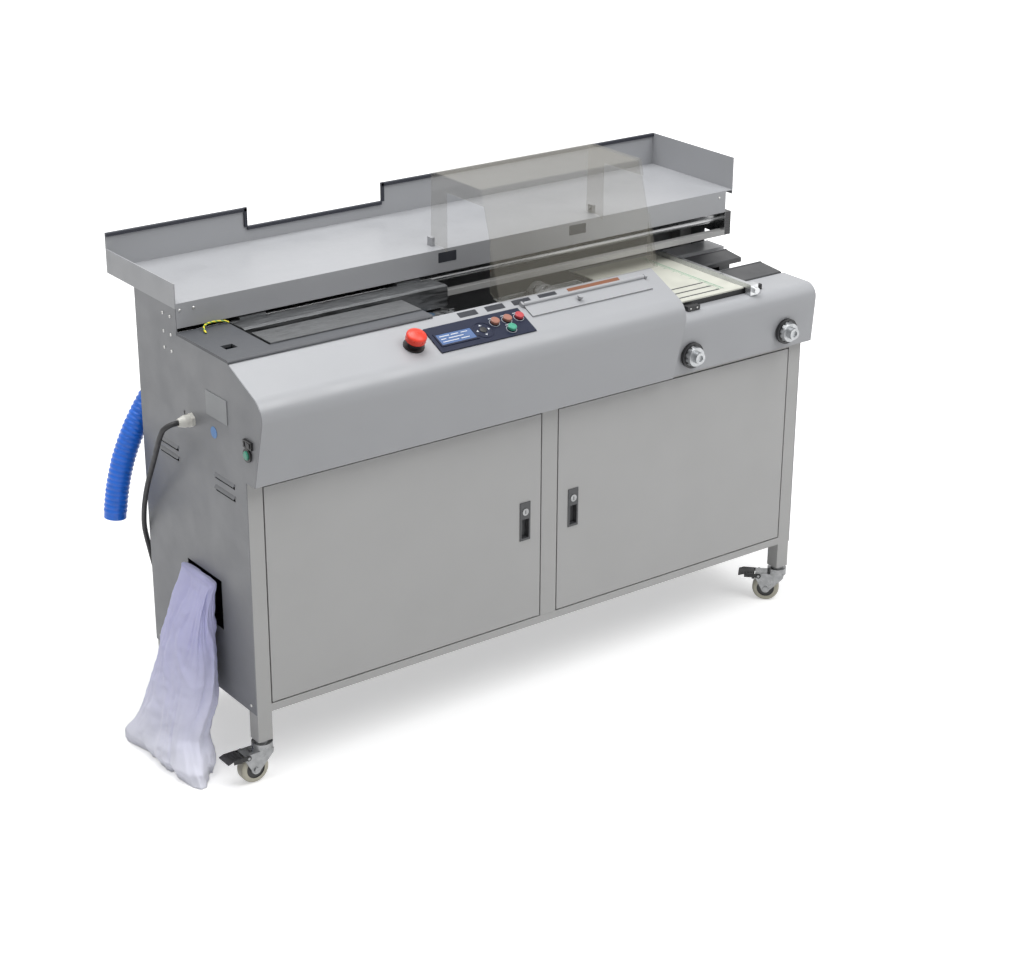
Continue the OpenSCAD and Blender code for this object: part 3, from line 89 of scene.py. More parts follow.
# ---------------------------------------------------------------- materials
class Mat:
    """A small helper that wires up a node material."""

    def __init__(self, name, color, rough=0.5, metal=0.0, **k):
        self.m = bpy.data.materials.new(name)
        self.m.use_nodes = True
        self.t = self.m.node_tree
        self.b = self.t.nodes["Principled BSDF"]
        self.b.inputs["Base Color"].default_value = (*color, 1)
        self.b.inputs["Roughness"].default_value = rough
        self.b.inputs["Metallic"].default_value = metal
        for key, v in k.items():
            self.b.inputs[key.replace("_", " ")].default_value = v
        self.color = color
        self.last = None
        self.pos = self.new("ShaderNodeTexCoord").outputs["Object"]

    def new(self, kind, **k):
        n = self.t.nodes.new(kind)
        for key, v in k.items():
            setattr(n, key, v)
        return n

    def link(self, a, b):
        self.t.links.new(a, b)

    def noise(self, scale, detail=4.0, stretch=None, rough=0.55):
        n = self.new("ShaderNodeTexNoise")
        n.inputs["Scale"].default_value = scale
        n.inputs["Detail"].default_value = detail
        n.inputs["Roughness"].default_value = rough
        src = self.pos
        if stretch:
            v = self.new("ShaderNodeMapping")
            v.inputs["Scale"].default_value = stretch
            self.link(src, v.inputs["Vector"])
            src = v.outputs["Vector"]
        self.link(src, n.inputs["Vector"])
        return n.outputs["Fac"]

    def ramp(self, fac, stops):
        r = self.new("ShaderNodeValToRGB")
        e = r.color_ramp.elements
        while len(e) < len(stops):
            e.new(0.5)
        for i, (at, c) in enumerate(stops):
            e[i].position = at
            e[i].color = (*c, 1) if len(c) == 3 else c
        self.link(fac, r.inputs["Fac"])
        return r.outputs["Color"]

    def vary(self, scale=6.0, amount=0.06, stretch=None, detail=4.0):
        """Slow change of tone over the surface."""
        c = self.color
        dark = tuple(x * (1 - amount) for x in c)
        light = tuple(min(1, x * (1 + amount)) for x in c)
        out = self.ramp(self.noise(scale, detail, stretch), [(0.3, dark), (0.7, light)])
        self.link(out, self.b.inputs["Base Color"])
        self.last = out
        return self

    def over(self, fac, color):
        """Lays a second colour over the first where fac is 1."""
        mix = self.new("ShaderNodeMix", data_type="RGBA")
        self.link(fac, mix.inputs["Factor"])
        if self.last:
            self.link(self.last, mix.inputs["A"])
        else:
            mix.inputs["A"].default_value = (*self.color, 1)
        mix.inputs["B"].default_value = (*color, 1)
        self.last = mix.outputs["Result"]
        self.link(self.last, self.b.inputs["Base Color"])
        return self

    def roughen(self, scale, lo, hi, stretch=None):
        """Uneven gloss between two roughness values."""
        r = self.new("ShaderNodeMapRange")
        r.inputs["From Min"].default_value = 0.35
        r.inputs["From Max"].default_value = 0.65
        r.inputs["To Min"].default_value = lo
        r.inputs["To Max"].default_value = hi
        self.link(self.noise(scale, 3.0, stretch), r.inputs["Value"])
        self.link(r.outputs["Result"], self.b.inputs["Roughness"])
        return self

    def bump(self, fac, strength, dist):
        b = self.new("ShaderNodeBump")
        b.inputs["Strength"].default_value = strength
        b.inputs["Distance"].default_value = dist
        self.link(fac, b.inputs["Height"])
        self.link(b.outputs["Normal"], self.b.inputs["Normal"])
        return self

    def axis(self, name):
        s = self.new("ShaderNodeSeparateXYZ")
        self.link(self.pos, s.inputs[0])
        return s.outputs[name]

    def math(self, op, a, b=None, c=None):
        n = self.new("ShaderNodeMath", operation=op)
        for i, v in enumerate((a, b, c)):
            if v is None:
                continue
            if isinstance(v, (int, float)):
                n.inputs[i].default_value = v
            else:
                self.link(v, n.inputs[i])
        return n.outputs[0]


def paint(name, color, rough=0.42, vary=0.025, grain=900.0):
    """Powder coat: even colour, fine orange peel, slightly uneven sheen."""
    m = Mat(name, color, rough, Coat_Weight=0.08, Coat_Roughness=0.35)
    m.vary(2.2, vary)
    m.roughen(14.0, rough - 0.06, rough + 0.08)
    m.bump(m.noise(grain, 2.0), 0.10, 0.0004)
    return m


def metal(name, color, rough, stretch=None, scale=60.0, vary=0.10, **k):
    m = Mat(name, color, rough, 1.0, **k)
    m.vary(scale, vary, stretch)
    m.roughen(scale * 0.7, rough * 0.7, rough * 1.4, stretch)
    m.bump(m.noise(scale * 3, 2.0, stretch), 0.08, 0.0003)
    return m


def plastic(name, color, rough=0.45, grain=1400.0, vary=0.05, bump=0.15, **k):
    m = Mat(name, color, rough, **k)
    m.vary(30.0, vary)
    m.roughen(60.0, rough - 0.05, rough + 0.08)
    m.bump(m.noise(grain, 2.0), bump, 0.0003)
    return m


M = {}
M["frame_paint"] = paint("frame_paint", (0.390, 0.390, 0.386))
# Painted shade: the side panels carry the frame's grey, painted at about half its brightness for
# the sides that face away from the light
M["side_paint"] = paint("side_paint", (0.195, 0.200, 0.212))
M["hood_paint"] = paint("hood_paint", (0.338, 0.345, 0.361), 0.36)
M["door_paint"] = paint("door_paint", (0.395, 0.395, 0.393))
M["dark_deck"] = paint("dark_deck", (0.062, 0.066, 0.074), 0.5, 0.08, 500.0)
M["bed_steel"] = paint("bed_steel", (0.06, 0.06, 0.062), 0.5, 0.1)
M["polished_steel"] = metal("polished_steel", (0.42, 0.425, 0.43), 0.24, (1, 30, 30), 40, 0.05)
M["brushed_parts"] = metal("brushed_parts", (0.30, 0.305, 0.31), 0.34, None, 90, 0.12)
M["jaw_steel"] = metal("jaw_steel", (0.16, 0.165, 0.17), 0.42, (1, 12, 12), 30, 0.15)
M["nip_bar"] = paint("nip_bar", (0.030, 0.031, 0.034), 0.38, 0.10, 700.0)
M["panel_print"] = plastic("panel_print", (0.010, 0.014, 0.034), 0.42, Specular_IOR_Level=0.25)
M["black_plastic"] = plastic("black_plastic", (0.012, 0.012, 0.013), 0.45)
M["white_plastic"] = plastic("white_plastic", (0.72, 0.71, 0.66), 0.45)
M["table_sheet"] = plastic("table_sheet", (0.56, 0.565, 0.50), 0.40)
M["orange_plastic"] = plastic("orange_plastic", (0.72, 0.035, 0.012), 0.30)
M["red_plastic"] = plastic("red_plastic", (0.42, 0.05, 0.06), 0.30)
M["green_plastic"] = plastic("green_plastic", (0.05, 0.30, 0.20), 0.30)
M["amber_plastic"] = plastic("amber_plastic", (0.32, 0.14, 0.10), 0.34)
M["tank_aluminium"] = metal("tank_aluminium", (0.60, 0.61, 0.62), 0.35, (1, 20, 20), 30, 0.08)
M["motor_paint"] = paint("motor_paint", (0.03, 0.06, 0.10), 0.45, 0.08)
M["box_paint"] = paint("box_paint", (0.45, 0.46, 0.45), 0.45)
M["cable_rubber"] = plastic("cable_rubber", (0.022, 0.022, 0.024), 0.55, 900.0)
M["knob_metal"] = metal("knob_metal", (0.42, 0.43, 0.44), 0.36, None, 120, 0.10)
M["pull_grey"] = plastic("pull_grey", (0.060, 0.062, 0.066), 0.40)


def darken_past(m, axis, limit, color):
    """Paints what lies past a plane across one axis, limit in metres, and takes its metal away."""
    past = m.math("GREATER_THAN", m.axis(axis), limit)
    m.over(past, color)
    m.link(m.math("SUBTRACT", 1.0, past), m.b.inputs["Metallic"])


# The knobs have a dark ring behind them, and the rods end in a dark block
darken_past(M["knob_metal"], "Y", (KNOB_FACE_Y - OY) / 1000, (0.015, 0.015, 0.017))
darken_past(M["polished_steel"], "X", (ROD_END + 0.2 - OX) / 1000, (0.020, 0.020, 0.023))


def smoke():
    """Smoked acrylic: thin tint seen square on, denser along its edges and folds."""
    m = Mat("smoke_sheet", (0.30, 0.285, 0.235), 0.06, IOR=1.49)
    w = m.new("ShaderNodeLayerWeight")
    w.inputs["Blend"].default_value = 0.5
    edge = m.math("POWER", w.outputs["Facing"], 7.0)
    m.link(m.math("MULTIPLY_ADD", edge, 0.55, 0.15), m.b.inputs["Alpha"])
    m.vary(3.0, 0.05)
    m.roughen(25.0, 0.04, 0.12)
    return m


M["smoke_sheet"] = smoke()


TREAD_R, SHADED_GAP_R, HUB_R = 0.0325, 0.0205, 0.0105    # radii on a castor wheel, in metres
AXLE_OFF, AXLE_Z = 24, 31.5                       # axle from the swivel, and over the floor


def wheel(name, x, y, turn):
    """Nylon tread with a steel hub and a near-black ring of painted shade for the gap between them,
    by distance from the axle.
    """
    c = P(x + AXLE_OFF * cos(turn), y + AXLE_OFF * sin(turn), AXLE_Z)
    across = Vector((cos(turn), sin(turn), 0))
    m = Mat(name, (0.46, 0.44, 0.36), 0.42)
    m.vary(30.0, 0.06)
    off = m.new("ShaderNodeVectorMath", operation="SUBTRACT")
    m.link(m.pos, off.inputs[0])
    off.inputs[1].default_value = c
    dot = m.new("ShaderNodeVectorMath", operation="DOT_PRODUCT")
    m.link(off.outputs[0], dot.inputs[0])
    dot.inputs[1].default_value = across
    up = m.new("ShaderNodeSeparateXYZ")
    m.link(off.outputs[0], up.inputs[0])
    across2 = m.math("MULTIPLY", dot.outputs["Value"], dot.outputs["Value"])
    up2 = m.math("MULTIPLY", up.outputs["Z"], up.outputs["Z"])
    r = m.math("SQRT", m.math("ADD", across2, up2))
    ragged = m.math("ADD", r, m.math("MULTIPLY", m.noise(90.0), 0.004))
    scuff = m.math("GREATER_THAN", ragged, TREAD_R)
    m.over(m.math("MULTIPLY", scuff, 0.35), (0.12, 0.11, 0.09))
    # Painted shade: the ring between the hub and the tread is painted near black for the shaded gap
    # between them
    m.over(m.math("LESS_THAN", r, SHADED_GAP_R), (0.030, 0.030, 0.030))
    hub = m.math("LESS_THAN", r, HUB_R)
    m.over(hub, (0.42, 0.42, 0.42))
    m.link(hub, m.b.inputs["Metallic"])
    m.bump(m.noise(500.0), 0.12, 0.0004)
    return m


# Place of each castor's swivel, and the way that it points
WHEELS = {"wheel_front_left": (18.5, 16.5, pi),
          "wheel_front_right": (BODY_L - 18.5, 16.5, radians(135)),
          "wheel_rear_left": (18.5, 405.5, 0),
          "wheel_rear_right": (BODY_L - 18.5, 405.5, pi)}

# Every CAD node takes the material of its slot, apart from the wheels and the pulls
for sp in frame["record"]["subparts"]:
    o = N[sp["node"]]
    mat = M.get(sp["material_slot"])
    if sp["node"] in WHEELS:
        mat = wheel(sp["node"], *WHEELS[sp["node"]])
    if sp["node"].endswith("_pull"):
        mat = M["pull_grey"]
    if mat:
        for s in o.material_slots:
            s.material = mat.m
        if not o.material_slots:
            o.data.materials.append(mat.m)


# ---------------------------------------------------------------- mesh helpers
def mesh(name, verts, faces, mat, slot=None, smooth=False):
    """A piece on the cabinet's body, from its points and faces."""
    me = bpy.data.meshes.new(name)
    me.from_pydata([tuple(v) for v in verts], [], faces)
    me.update()
    o = bpy.data.objects.new(name, me)
    col.objects.link(o)
    o.data.materials.append(mat.m)
    if smooth:
        for p in me.polygons:
            p.use_smooth = True
    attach(o, "cabinet")
    return o


def bevel(o, width):
    b = o.modifiers.new("edge", "BEVEL")
    b.width = width
    b.segments = 2
    b.limit_method = "ANGLE"
    b.angle_limit = radians(30)


def spline(p, n):
    """A smooth line through the points, with n steps between two of them."""
    out = []
    for i in range(len(p) - 1):
        a, b, c, d = p[max(i - 1, 0)], p[i], p[i + 1], p[min(i + 2, len(p) - 1)]
        for k in range(n):
            t = k / n
            square, cube = 2 * a - 5 * b + 4 * c - d, 3 * b - a - 3 * c + d
            out.append(0.5 * (2 * b + (c - a) * t + square * t * t + cube * t ** 3))
    out.append(p[-1])
    return out


def frames(pts, up):
    """Direction and two cross axes at each point, turning as little as they can."""
    u, out = up, []
    for i in range(len(pts)):
        d = (pts[min(i + 1, len(pts) - 1)] - pts[max(i - 1, 0)]).normalized()
        u = (u - u.dot(d) * d).normalized()
        out.append((d, u, d.cross(u)))
    return out


def length(pts):
    return sum((pts[i + 1] - pts[i]).length for i in range(len(pts) - 1))


def even(pts, step):
    """Points at an even distance along a polyline."""
    total = length(pts)
    n = max(2, round(total / step))
    out, i, acc = [pts[0]], 0, 0.0
    for k in range(1, n):
        want = total * k / n
        while acc + (pts[i + 1] - pts[i]).length < want:
            acc += (pts[i + 1] - pts[i]).length
            i += 1
        seg = pts[i + 1] - pts[i]
        out.append(pts[i] + seg * ((want - acc) / seg.length))
    out.append(pts[-1])
    return out


def tube(name, pts, radii, sides, mat, up, inner=None, **k):
    """A round tube along points, with closed ends, or with a bore of radius inner."""
    fr = frames(pts, up)
    v, f = [], []
    for p, r, (d, u, w) in zip(pts, radii, fr):
        for s in range(sides):
            a = 2 * pi * s / sides
            v.append(p + r * (cos(a) * u + sin(a) * w))
    m = len(pts)
    for i in range(m - 1):
        for s in range(sides):
            a, b = i * sides + s, i * sides + (s + 1) % sides
            f.append((a, b, b + sides, a + sides))
    if inner:
        off = m * sides
        for p, (d, u, w) in zip(pts, fr):
            for s in range(sides):
                a = 2 * pi * s / sides
                v.append(p + inner * (cos(a) * u + sin(a) * w))
        for i in range(m - 1):
            for s in range(sides):
                a, b = off + i * sides + s, off + i * sides + (s + 1) % sides
                f.append((a, a + sides, b + sides, b))
        e = (m - 1) * sides
        for s in range(sides):
            b = (s + 1) % sides
            f.append((s, off + s, off + b, b))
            f.append((e + s, e + b, off + e + b, off + e + s))
    else:
        f.append(tuple(range(sides))[::-1])
        f.append(tuple((m - 1) * sides + s for s in range(sides)))
    return mesh(name, v, f, mat, smooth=True, **k)


# ---------------------------------------------------------------- hose
HOSE_Y = 476
HOSE_ROUTE = ((93.2, 733.2), (85.2, 725.2), (73, 713), (51, 688), (26, 654),
              (0, 611), (-24, 558), (-40, 504), (-49, 456), (-52, 432))    # X and Z
HOSE_R, RIB_H, BORE_R = 0.0230, 0.0019, 0.0205    # between the ribs, height of a rib, and bore
RIB_STEP = 0.0105
CUFF, CUFF_FADE = 0.012, 0.004                    # plain end, and where it turns into ribs


def hose():
    """Blue ribbed hose from its outlet down behind the left side, open at its lower end."""
    pts = [P(x, HOSE_Y, z) for x, z in HOSE_ROUTE]
    line = even(spline(pts, 10), 0.0016)
    total = length(line)
    radii = []
    for i in range(len(line)):
        d = total * i / (len(line) - 1)
        edge = min(1, max(0, (min(d, total - d) - CUFF) / CUFF_FADE))
        wave = (0.5 + 0.5 * cos(2 * pi * d / RIB_STEP)) ** 0.6
        radii.append(HOSE_R + RIB_H * edge * wave + 0.0004 * (1 - edge))
    m = Mat("hose_blue", (0.006, 0.165, 0.80), 0.34, Coat_Weight=0.15)
    m.vary(40.0, 0.14)
    m.roughen(50.0, 0.28, 0.46)
    m.bump(m.noise(700.0, 2.0), 0.10, 0.0004)
    o = tube("dust_hose", line, radii, 40, m, Vector((0, 1, 0)), inner=BORE_R, slot="hose_blue")
    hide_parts("hose")


hose()

# ---------------------------------------------------------------- power cable
CABLE = 11                                 # diameter
COIL_C, COIL_OUT, PITCH, TURNS = (375, 445), 75, 13, 5
LAYER = (TURNS - 0.5) / 2                  # turns in each of the two layers
COIL_IN = COIL_OUT - PITCH * LAYER
GLAND_TIP = (-32, 205, 726)
# From the gland round the rear corner, down behind the cabinet and along the floor to the coil
CABLE_ROUTE = (
    GLAND_TIP, (-35, 205, 726), (-38, 205, 726), (-46.4, 206.1, 724.7), (-53.6, 209.3, 721.2),
    (-58.3, 214, 715.8), (-60, 219.5, 709.5), (-59, 236, 688), (-54, 259, 659), (-48, 283, 631),
    (-42, 308, 602), (-35, 344, 556), (-27, 378, 508), (-17, 410, 458), (-5, 436, 408),
    (10, 448, 350), (26, 454, 280), (38, 458, 210), (54, 466, 130), (78, 478, 68),
    (118, 496, 26), (172, 512, 9.5), (226, 519, 6.2), (290, 520, 5.5), (330, 520, 5.5),
    (364, 520, 5.5))


def coil_point(u):
    """A point u turns along the coil, which spirals in, climbs a layer and spirals out."""
    if u < LAYER:
        r = COIL_OUT - PITCH * u
    else:
        r = COIL_IN + PITCH * max(0, u - LAYER - 0.5)
    h = CABLE / 2 + PITCH * min(1, max(0, (u - LAYER) / 0.5))
    return P(COIL_C[0] + r * sin(2 * pi * u), COIL_C[1] + r * cos(2 * pi * u), h)


def cable():
    """Power lead with its coil: one open curve, which stands for both CAD solids."""
    coil = [coil_point(k / 32) for k in range(TURNS * 32 + 1)]
    tail = coil_point(TURNS) + Vector((1.8 * CABLE / 1000, 0, 0))
    pts = spline([P(*p) for p in CABLE_ROUTE], 4) + coil + [tail]
    c = bpy.data.curves.new("power_lead", "CURVE")
    c.dimensions = "3D"
    c.bevel_depth = CABLE / 2000
    c.bevel_resolution = 6
    c.use_fill_caps = True
    s = c.splines.new("POLY")
    s.points.add(len(pts) - 1)
    for q, p in zip(s.points, pts):
        q.co = (*p, 1)
    s.use_smooth = True
    o = bpy.data.objects.new("power_lead", c)
    col.objects.link(o)
    c.materials.append(M["cable_rubber"].m)
    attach(o, "cabinet")
    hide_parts("power_cable", "cable_coil")


cable()


# ---------------------------------------------------------------- waste bag
# Rings from the floor up: height, least and most Y, and how far its outer and inner side stand off
BAG = [(3, 76, 314, 132, 34), (26, 66, 328, 145, 28), (80, 92, 316, 126, 24),
       (160, 96, 298, 106, 6), (250, 102, 278, 86, 3), (330, 112, 264, 60, 2),
       (393, 121, 257, 26, 1)]
BAG_FOOT, BAG_H = 0.8, 399.2    # lowest point, and height over it
BAG_SQUARE = 0.78               # below 1 the rings are fuller than an ellipse
FOLD, GATHER, SAG, CREASE = 11, 5, 4.5, 4.0    # depths of the cloth's forms
INWARD = 7.5                    # how far the cloth lies inside its ring on average
# Corners of the hem: direction in the plan, reach and half width as an angle
HEM = ((atan2(139, -52), 42, 0.22), (atan2(-162, -31), 44, 0.18))


def bag_shape(z):
    """The ring at a height, between those of BAG."""
    for a, b in zip(BAG, BAG[1:]):
        if z <= b[0]:
            t = (z - a[0]) / (b[0] - a[0])
            return [a[i] + (b[i] - a[i]) * t for i in range(5)]
    return list(BAG[-1])


def bag():
    """Gathered cloth: rings loosened by hanging folds, creases and a hem spread on the floor."""
    rows, sides = 130, 220
    v, f = [], []
    for i in range(rows + 1):
        t = i / rows
        z = BAG_FOOT + BAG_H * (1 - (1 - t) ** 1.1)
        _, y0, y1, xo, xi = bag_shape(min(max(z, BAG[0][0]), BAG[-1][0]))
        yc, xc, ry, rx = (y0 + y1) / 2, -(xo + xi) / 2, (y1 - y0) / 2, (xo - xi) / 2
        low = min(1, max(0, (300 - z) / 260))
        neck = min(1, max(0, (z - 375) / 18))
        for s in range(sides):
            a = 2 * pi * s / sides
            c, n = cos(a), sin(a)
            x = xc + rx * (1 if c > 0 else -1) * abs(c) ** BAG_SQUARE
            y = yc + ry * (1 if n > 0 else -1) * abs(n) ** BAG_SQUARE
            # Hanging folds run down and drift sideways as they fall
            drift = a + 0.5 * noise.noise(Vector((z * 0.006, 3.3, a)))
            deep = noise.noise(Vector((cos(drift) * 2.4, sin(drift) * 2.4, z * 0.0026 + 4)))
            fine = noise.noise(Vector((cos(drift) * 6.5, sin(drift) * 6.5, z * 0.006)))
            # Creases lie across the cloth where it sags on itself
            q = Vector((x * 0.022, y * 0.022, z * 0.030))
            sag = noise.noise(q) * low + 0.5 * noise.noise(q * 2.3)
            slow = Vector((x * 0.012, y * 0.012, z * 0.012)) + Vector((2, 7, 1))
            ridge = 1 - abs(noise.noise(slow)) * 3.2
            d = FOLD * deep * (0.4 + 0.6 * low) + GATHER * fine + SAG * sag
            d += CREASE * max(0, ridge) - INWARD
            d = min(1.5, max(-20.0, d)) * (1 - 0.75 * neck)
            hold = sqrt((x - xc) ** 2 + (y - yc) ** 2)
            # The hem spreads over the floor in two corners
            spread = max(0, 1 - z / 75) ** 1.7
            for toward, reach, half in HEM:
                away = (atan2(y - yc, x - xc) - toward + pi) % (2 * pi) - pi
                d += spread * reach * exp(-(away / half) ** 2)
            d += spread * 5 * noise.noise(Vector((cos(a) * 9, sin(a) * 9, z * 0.03)))
            k = 1 + max(d, -0.45 * min(rx, hold)) / max(16, hold)
            lift = 3.0 * noise.noise(q * 1.4 + Vector((9, 0, 2))) if 30 < z < 370 else 0
            v.append(P(xc + (x - xc) * k, yc + (y - yc) * k, z + lift))
    for i in range(rows):
        for s in range(sides):
            a, b = i * sides + s, i * sides + (s + 1) % sides
            f.append((a, b, b + sides, a + sides))
    f.append(tuple(range(sides))[::-1])
    f.append(tuple(rows * sides + s for s in range(sides)))
    m = Mat("bag_cloth", (0.58, 0.58, 0.88), 0.85, Sheen_Weight=0.25, Sheen_Roughness=0.5)
    m.vary(9.0, 0.05)
    pale = m.new("ShaderNodeMapRange")
    for key, val in (("From Min", 0.02), ("From Max", 0.33), ("To Min", 1.0), ("To Max", 0.0)):
        pale.inputs[key].default_value = val
    height = m.math("ADD", m.axis("Z"), m.math("MULTIPLY", m.noise(7.0), 0.08))
    m.link(height, pale.inputs["Value"])
    m.over(pale.outputs["Result"], (0.90, 0.91, 0.99))
    wy = m.new("ShaderNodeTexWave", wave_type="BANDS", bands_direction="Z")
    wx = m.new("ShaderNodeTexWave", wave_type="BANDS", bands_direction="Y")
    for w in (wx, wy):
        w.inputs["Scale"].default_value = 330.0
        w.inputs["Distortion"].default_value = 0.6
        m.link(m.pos, w.inputs["Vector"])
    weave = m.math("ADD", wx.outputs["Fac"], wy.outputs["Fac"])
    both = m.math("ADD", weave, m.math("MULTIPLY", m.noise(60.0, 4.0), 1.5))
    m.bump(both, 0.35, 0.0006)
    o = mesh("waste_bag_cloth", v, f, m, slot="bag_cloth", smooth=True)
    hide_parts("waste_bag")


bag()


# ---------------------------------------------------------------- small pieces
def on_slope(x, s, n):
    """A point on the hood's top: along it, down from its rear edge, and out from its face."""
    y, z = HOOD_REAR
    return P(x, y - s * cos(SLOPE) - n * sin(SLOPE), z - s * sin(SLOPE) + n * cos(SLOPE))


def rrect(w, h, r, seg=4):
    """Outline of a plate with round corners, from its lower left corner."""
    out = []
    for cx, cy, a0 in ((w - r, h - r, 0), (r, h - r, 90), (r, r, 180), (w - r, r, 270)):
        for k in range(seg + 1):
            a = radians(a0 + 90 * k / seg)
            out.append((cx + r * cos(a), cy + r * sin(a)))
    return out


def disc(r, seg=32):
    return [(r * cos(2 * pi * k / seg), r * sin(2 * pi * k / seg)) for k in range(seg)]


def slab(name, outline, at, n0, n1, mat, edge, slot):
    """A plate with eased edges: at(u, v, n) places its outline."""
    cu = sum(p[0] for p in outline) / len(outline)
    cv = sum(p[1] for p in outline) / len(outline)
    rings = []
    for n, e in ((n0, 0), (n1 - edge, 0), (n1 - edge * 0.3, edge * 0.3), (n1, edge)):
        ring = []
        for u, v in outline:
            d = sqrt((u - cu) ** 2 + (v - cv) ** 2)
            k = 1 - e / d if d else 1
            ring.append(at(cu + (u - cu) * k, cv + (v - cv) * k, n))
        rings.append(ring)
    m = len(outline)
    v = [p for r in rings for p in r]
    f = [(i * m + k, i * m + (k + 1) % m, (i + 1) * m + (k + 1) % m, (i + 1) * m + k)
         for i in range(3) for k in range(m)]
    f.append(tuple(range(m))[::-1])
    f.append(tuple(3 * m + k for k in range(m)))
    o = mesh(name, v, f, mat, slot)
    tidy_normals(o)
    return o


def tidy_normals(o):
    bm = bmesh.new()
    bm.from_mesh(o.data)
    bmesh.ops.recalc_face_normals(bm, faces=bm.faces)
    bm.to_mesh(o.data)
    bm.free()


def join(name, objs):
    """Makes one piece of several small ones of the same body."""
    keep = objs[0]
    bm = bmesh.new()
    for o in objs:
        bm.from_mesh(o.data)
    bm.to_mesh(keep.data)
    bm.free()
    for o in objs[1:]:
        bpy.data.objects.remove(o)
    keep.name = name


def lathe(name, profile, place, mat, sides, slot):
    """A turned piece from pairs of radius and height."""
    v, f = [], []
    for r, h in profile:
        for k in range(sides):
            a = 2 * pi * k / sides
            v.append(place(r * cos(a), r * sin(a), h))
    for i in range(len(profile) - 1):
        for k in range(sides):
            a, b = i * sides + k, i * sides + (k + 1) % sides
            f.append((a, b, b + sides, a + sides))
    f.append(tuple(range(sides))[::-1])
    f.append(tuple((len(profile) - 1) * sides + k for k in range(sides)))
    o = mesh(name, v, f, mat, slot, smooth=True)
    tidy_normals(o)


def left_face(y, z):
    return lambda u, v, n: P(-n, y - u, z + v)


def front_face(x, y, z):
    return lambda u, v, n: P(x + u, y - n, z + v)


def screws(name, places, r=3.4):
    """Pan-head screws with a cross slot: places are functions of (u, v, n)."""
    out = []
    for at in places:
        v, f = [], []
        sides = 16
        prof = ((r, 0), (r, 0.8), (r * 0.86, 1.5), (r * 0.55, 1.9))
        for q, h in prof:
            for k in range(sides):
                a = 2 * pi * k / sides
                v.append(at(q * cos(a), q * sin(a), h))
        for i in range(3):
            for k in range(sides):
                a, b = i * sides + k, i * sides + (k + 1) % sides
                f.append((a, b, b + sides, a + sides))
        c = len(v)
        w, l = r * 0.13, r * 0.5
        cross = ((w, w), (l, w), (l, -w), (w, -w), (w, -l), (-w, -l),
                 (-w, -w), (-l, -w), (-l, w), (-w, w), (-w, l), (w, l))
        for q in cross:
            v.append(at(q[0], q[1], 1.9))
        for q in cross:
            v.append(at(q[0], q[1], 1.1))
        n = len(cross)
        for k in range(n):
            f.append((c + k, c + (k + 1) % n, c + n + (k + 1) % n, c + n + k))
        f.append(tuple(c + n + k for k in range(n)))
        top = 3 * sides
        # Fan from the head's rim to the nearest corners of the cross
        for k in range(sides):
            a = 2 * pi * (k + 0.5) / sides
            near = min(range(n), key=lambda j: abs((a - ang(cross[j]) + pi) % (2 * pi) - pi))
            f.append((top + k, top + (k + 1) % sides, c + near))
        out.append(mesh(name, v, f, M["screw"], "brushed_parts"))
    join(name, out)


def ang(q):
    return atan2(q[1], q[0])


M["screw"] = metal("screw", (0.55, 0.55, 0.54), 0.32, None, 150, 0.1)
M["dark_label"] = plastic("dark_label", (0.020, 0.022, 0.030), 0.35)
M["rust_label"] = plastic("rust_label", (0.20, 0.075, 0.035), 0.40)
M["grey_label"] = plastic("grey_label", (0.30, 0.31, 0.32), 0.45)
M["blue_label"] = plastic("blue_label", (0.10, 0.25, 0.55), 0.4)
M["light_print"] = plastic("light_print", (0.55, 0.58, 0.62), 0.40)
M["trim_rubber"] = plastic("trim_rubber", (0.018, 0.020, 0.030), 0.55, 700.0)

PLATE, PLATE_X, PLATE_STEP = (46, 15), 527, 68
STRIP, STRIP_X = (138, 12), 807
SKIRT_PLATE, SKIRT_PLATES_X = (46, 22), (624, 973)
THIN = (0.05, 0.5)              # from and to, out of the face


def labels():
    """Plain plates and a plain strip where the machine has printed ones."""
    plates = []
    for k in range(4):
        at = lambda u, v, n, x=PLATE_X + PLATE_STEP * k: on_slope(x + u, 20 - v, n)
        plates.append(slab("hood_plate", rrect(*PLATE, 1.5), at, *THIN, M["dark_label"], 0.2,
                           slot="panel_print"))
    join("hood_plates", plates)
    slab("hood_strip", rrect(*STRIP, 1.5), lambda u, v, n: on_slope(STRIP_X + u, 18 - v, n), *THIN,
         M["rust_label"], 0.2, slot="panel_print")
    slab("side_plate", rrect(82, 50, 2), left_face(143, 759), 0.1, 1.6, M["grey_label"], 0.5,
         slot="side_paint")
    slab("side_disc", disc(12), left_face(118, 727), 0.1, 0.8, M["blue_label"], 0.2,
         slot="panel_print")
    join("skirt_plates", [slab("skirt_plate", rrect(*SKIRT_PLATE, 1.5), front_face(x, SKIRT_Y, 923),
                               0.05, 0.6, M["dark_label"], 0.2, slot="panel_print")
                          for x in SKIRT_PLATES_X])


labels()


LCD, LCD_AT = (84, 30), (PANEL[0] + 13, PANEL[1] - 18)
LCD_ROWS = (((6, 30), (34, 52), (58, 74)), ((6, 18), (24, 60)), ((6, 44), (50, 70)))
BUTTONS = ((587, 57), (618, 57), (648, 57), (612, 84))    # X and place down the slope
RING_R, RING_N = (10.4, 11.4), 28


def mark(outline, at, top=PANEL_T + 0.35, foot=PANEL_T + 0.05):
    return slab("mark", outline, at, foot, top, M["light_print"], 0.1, slot="panel_print")


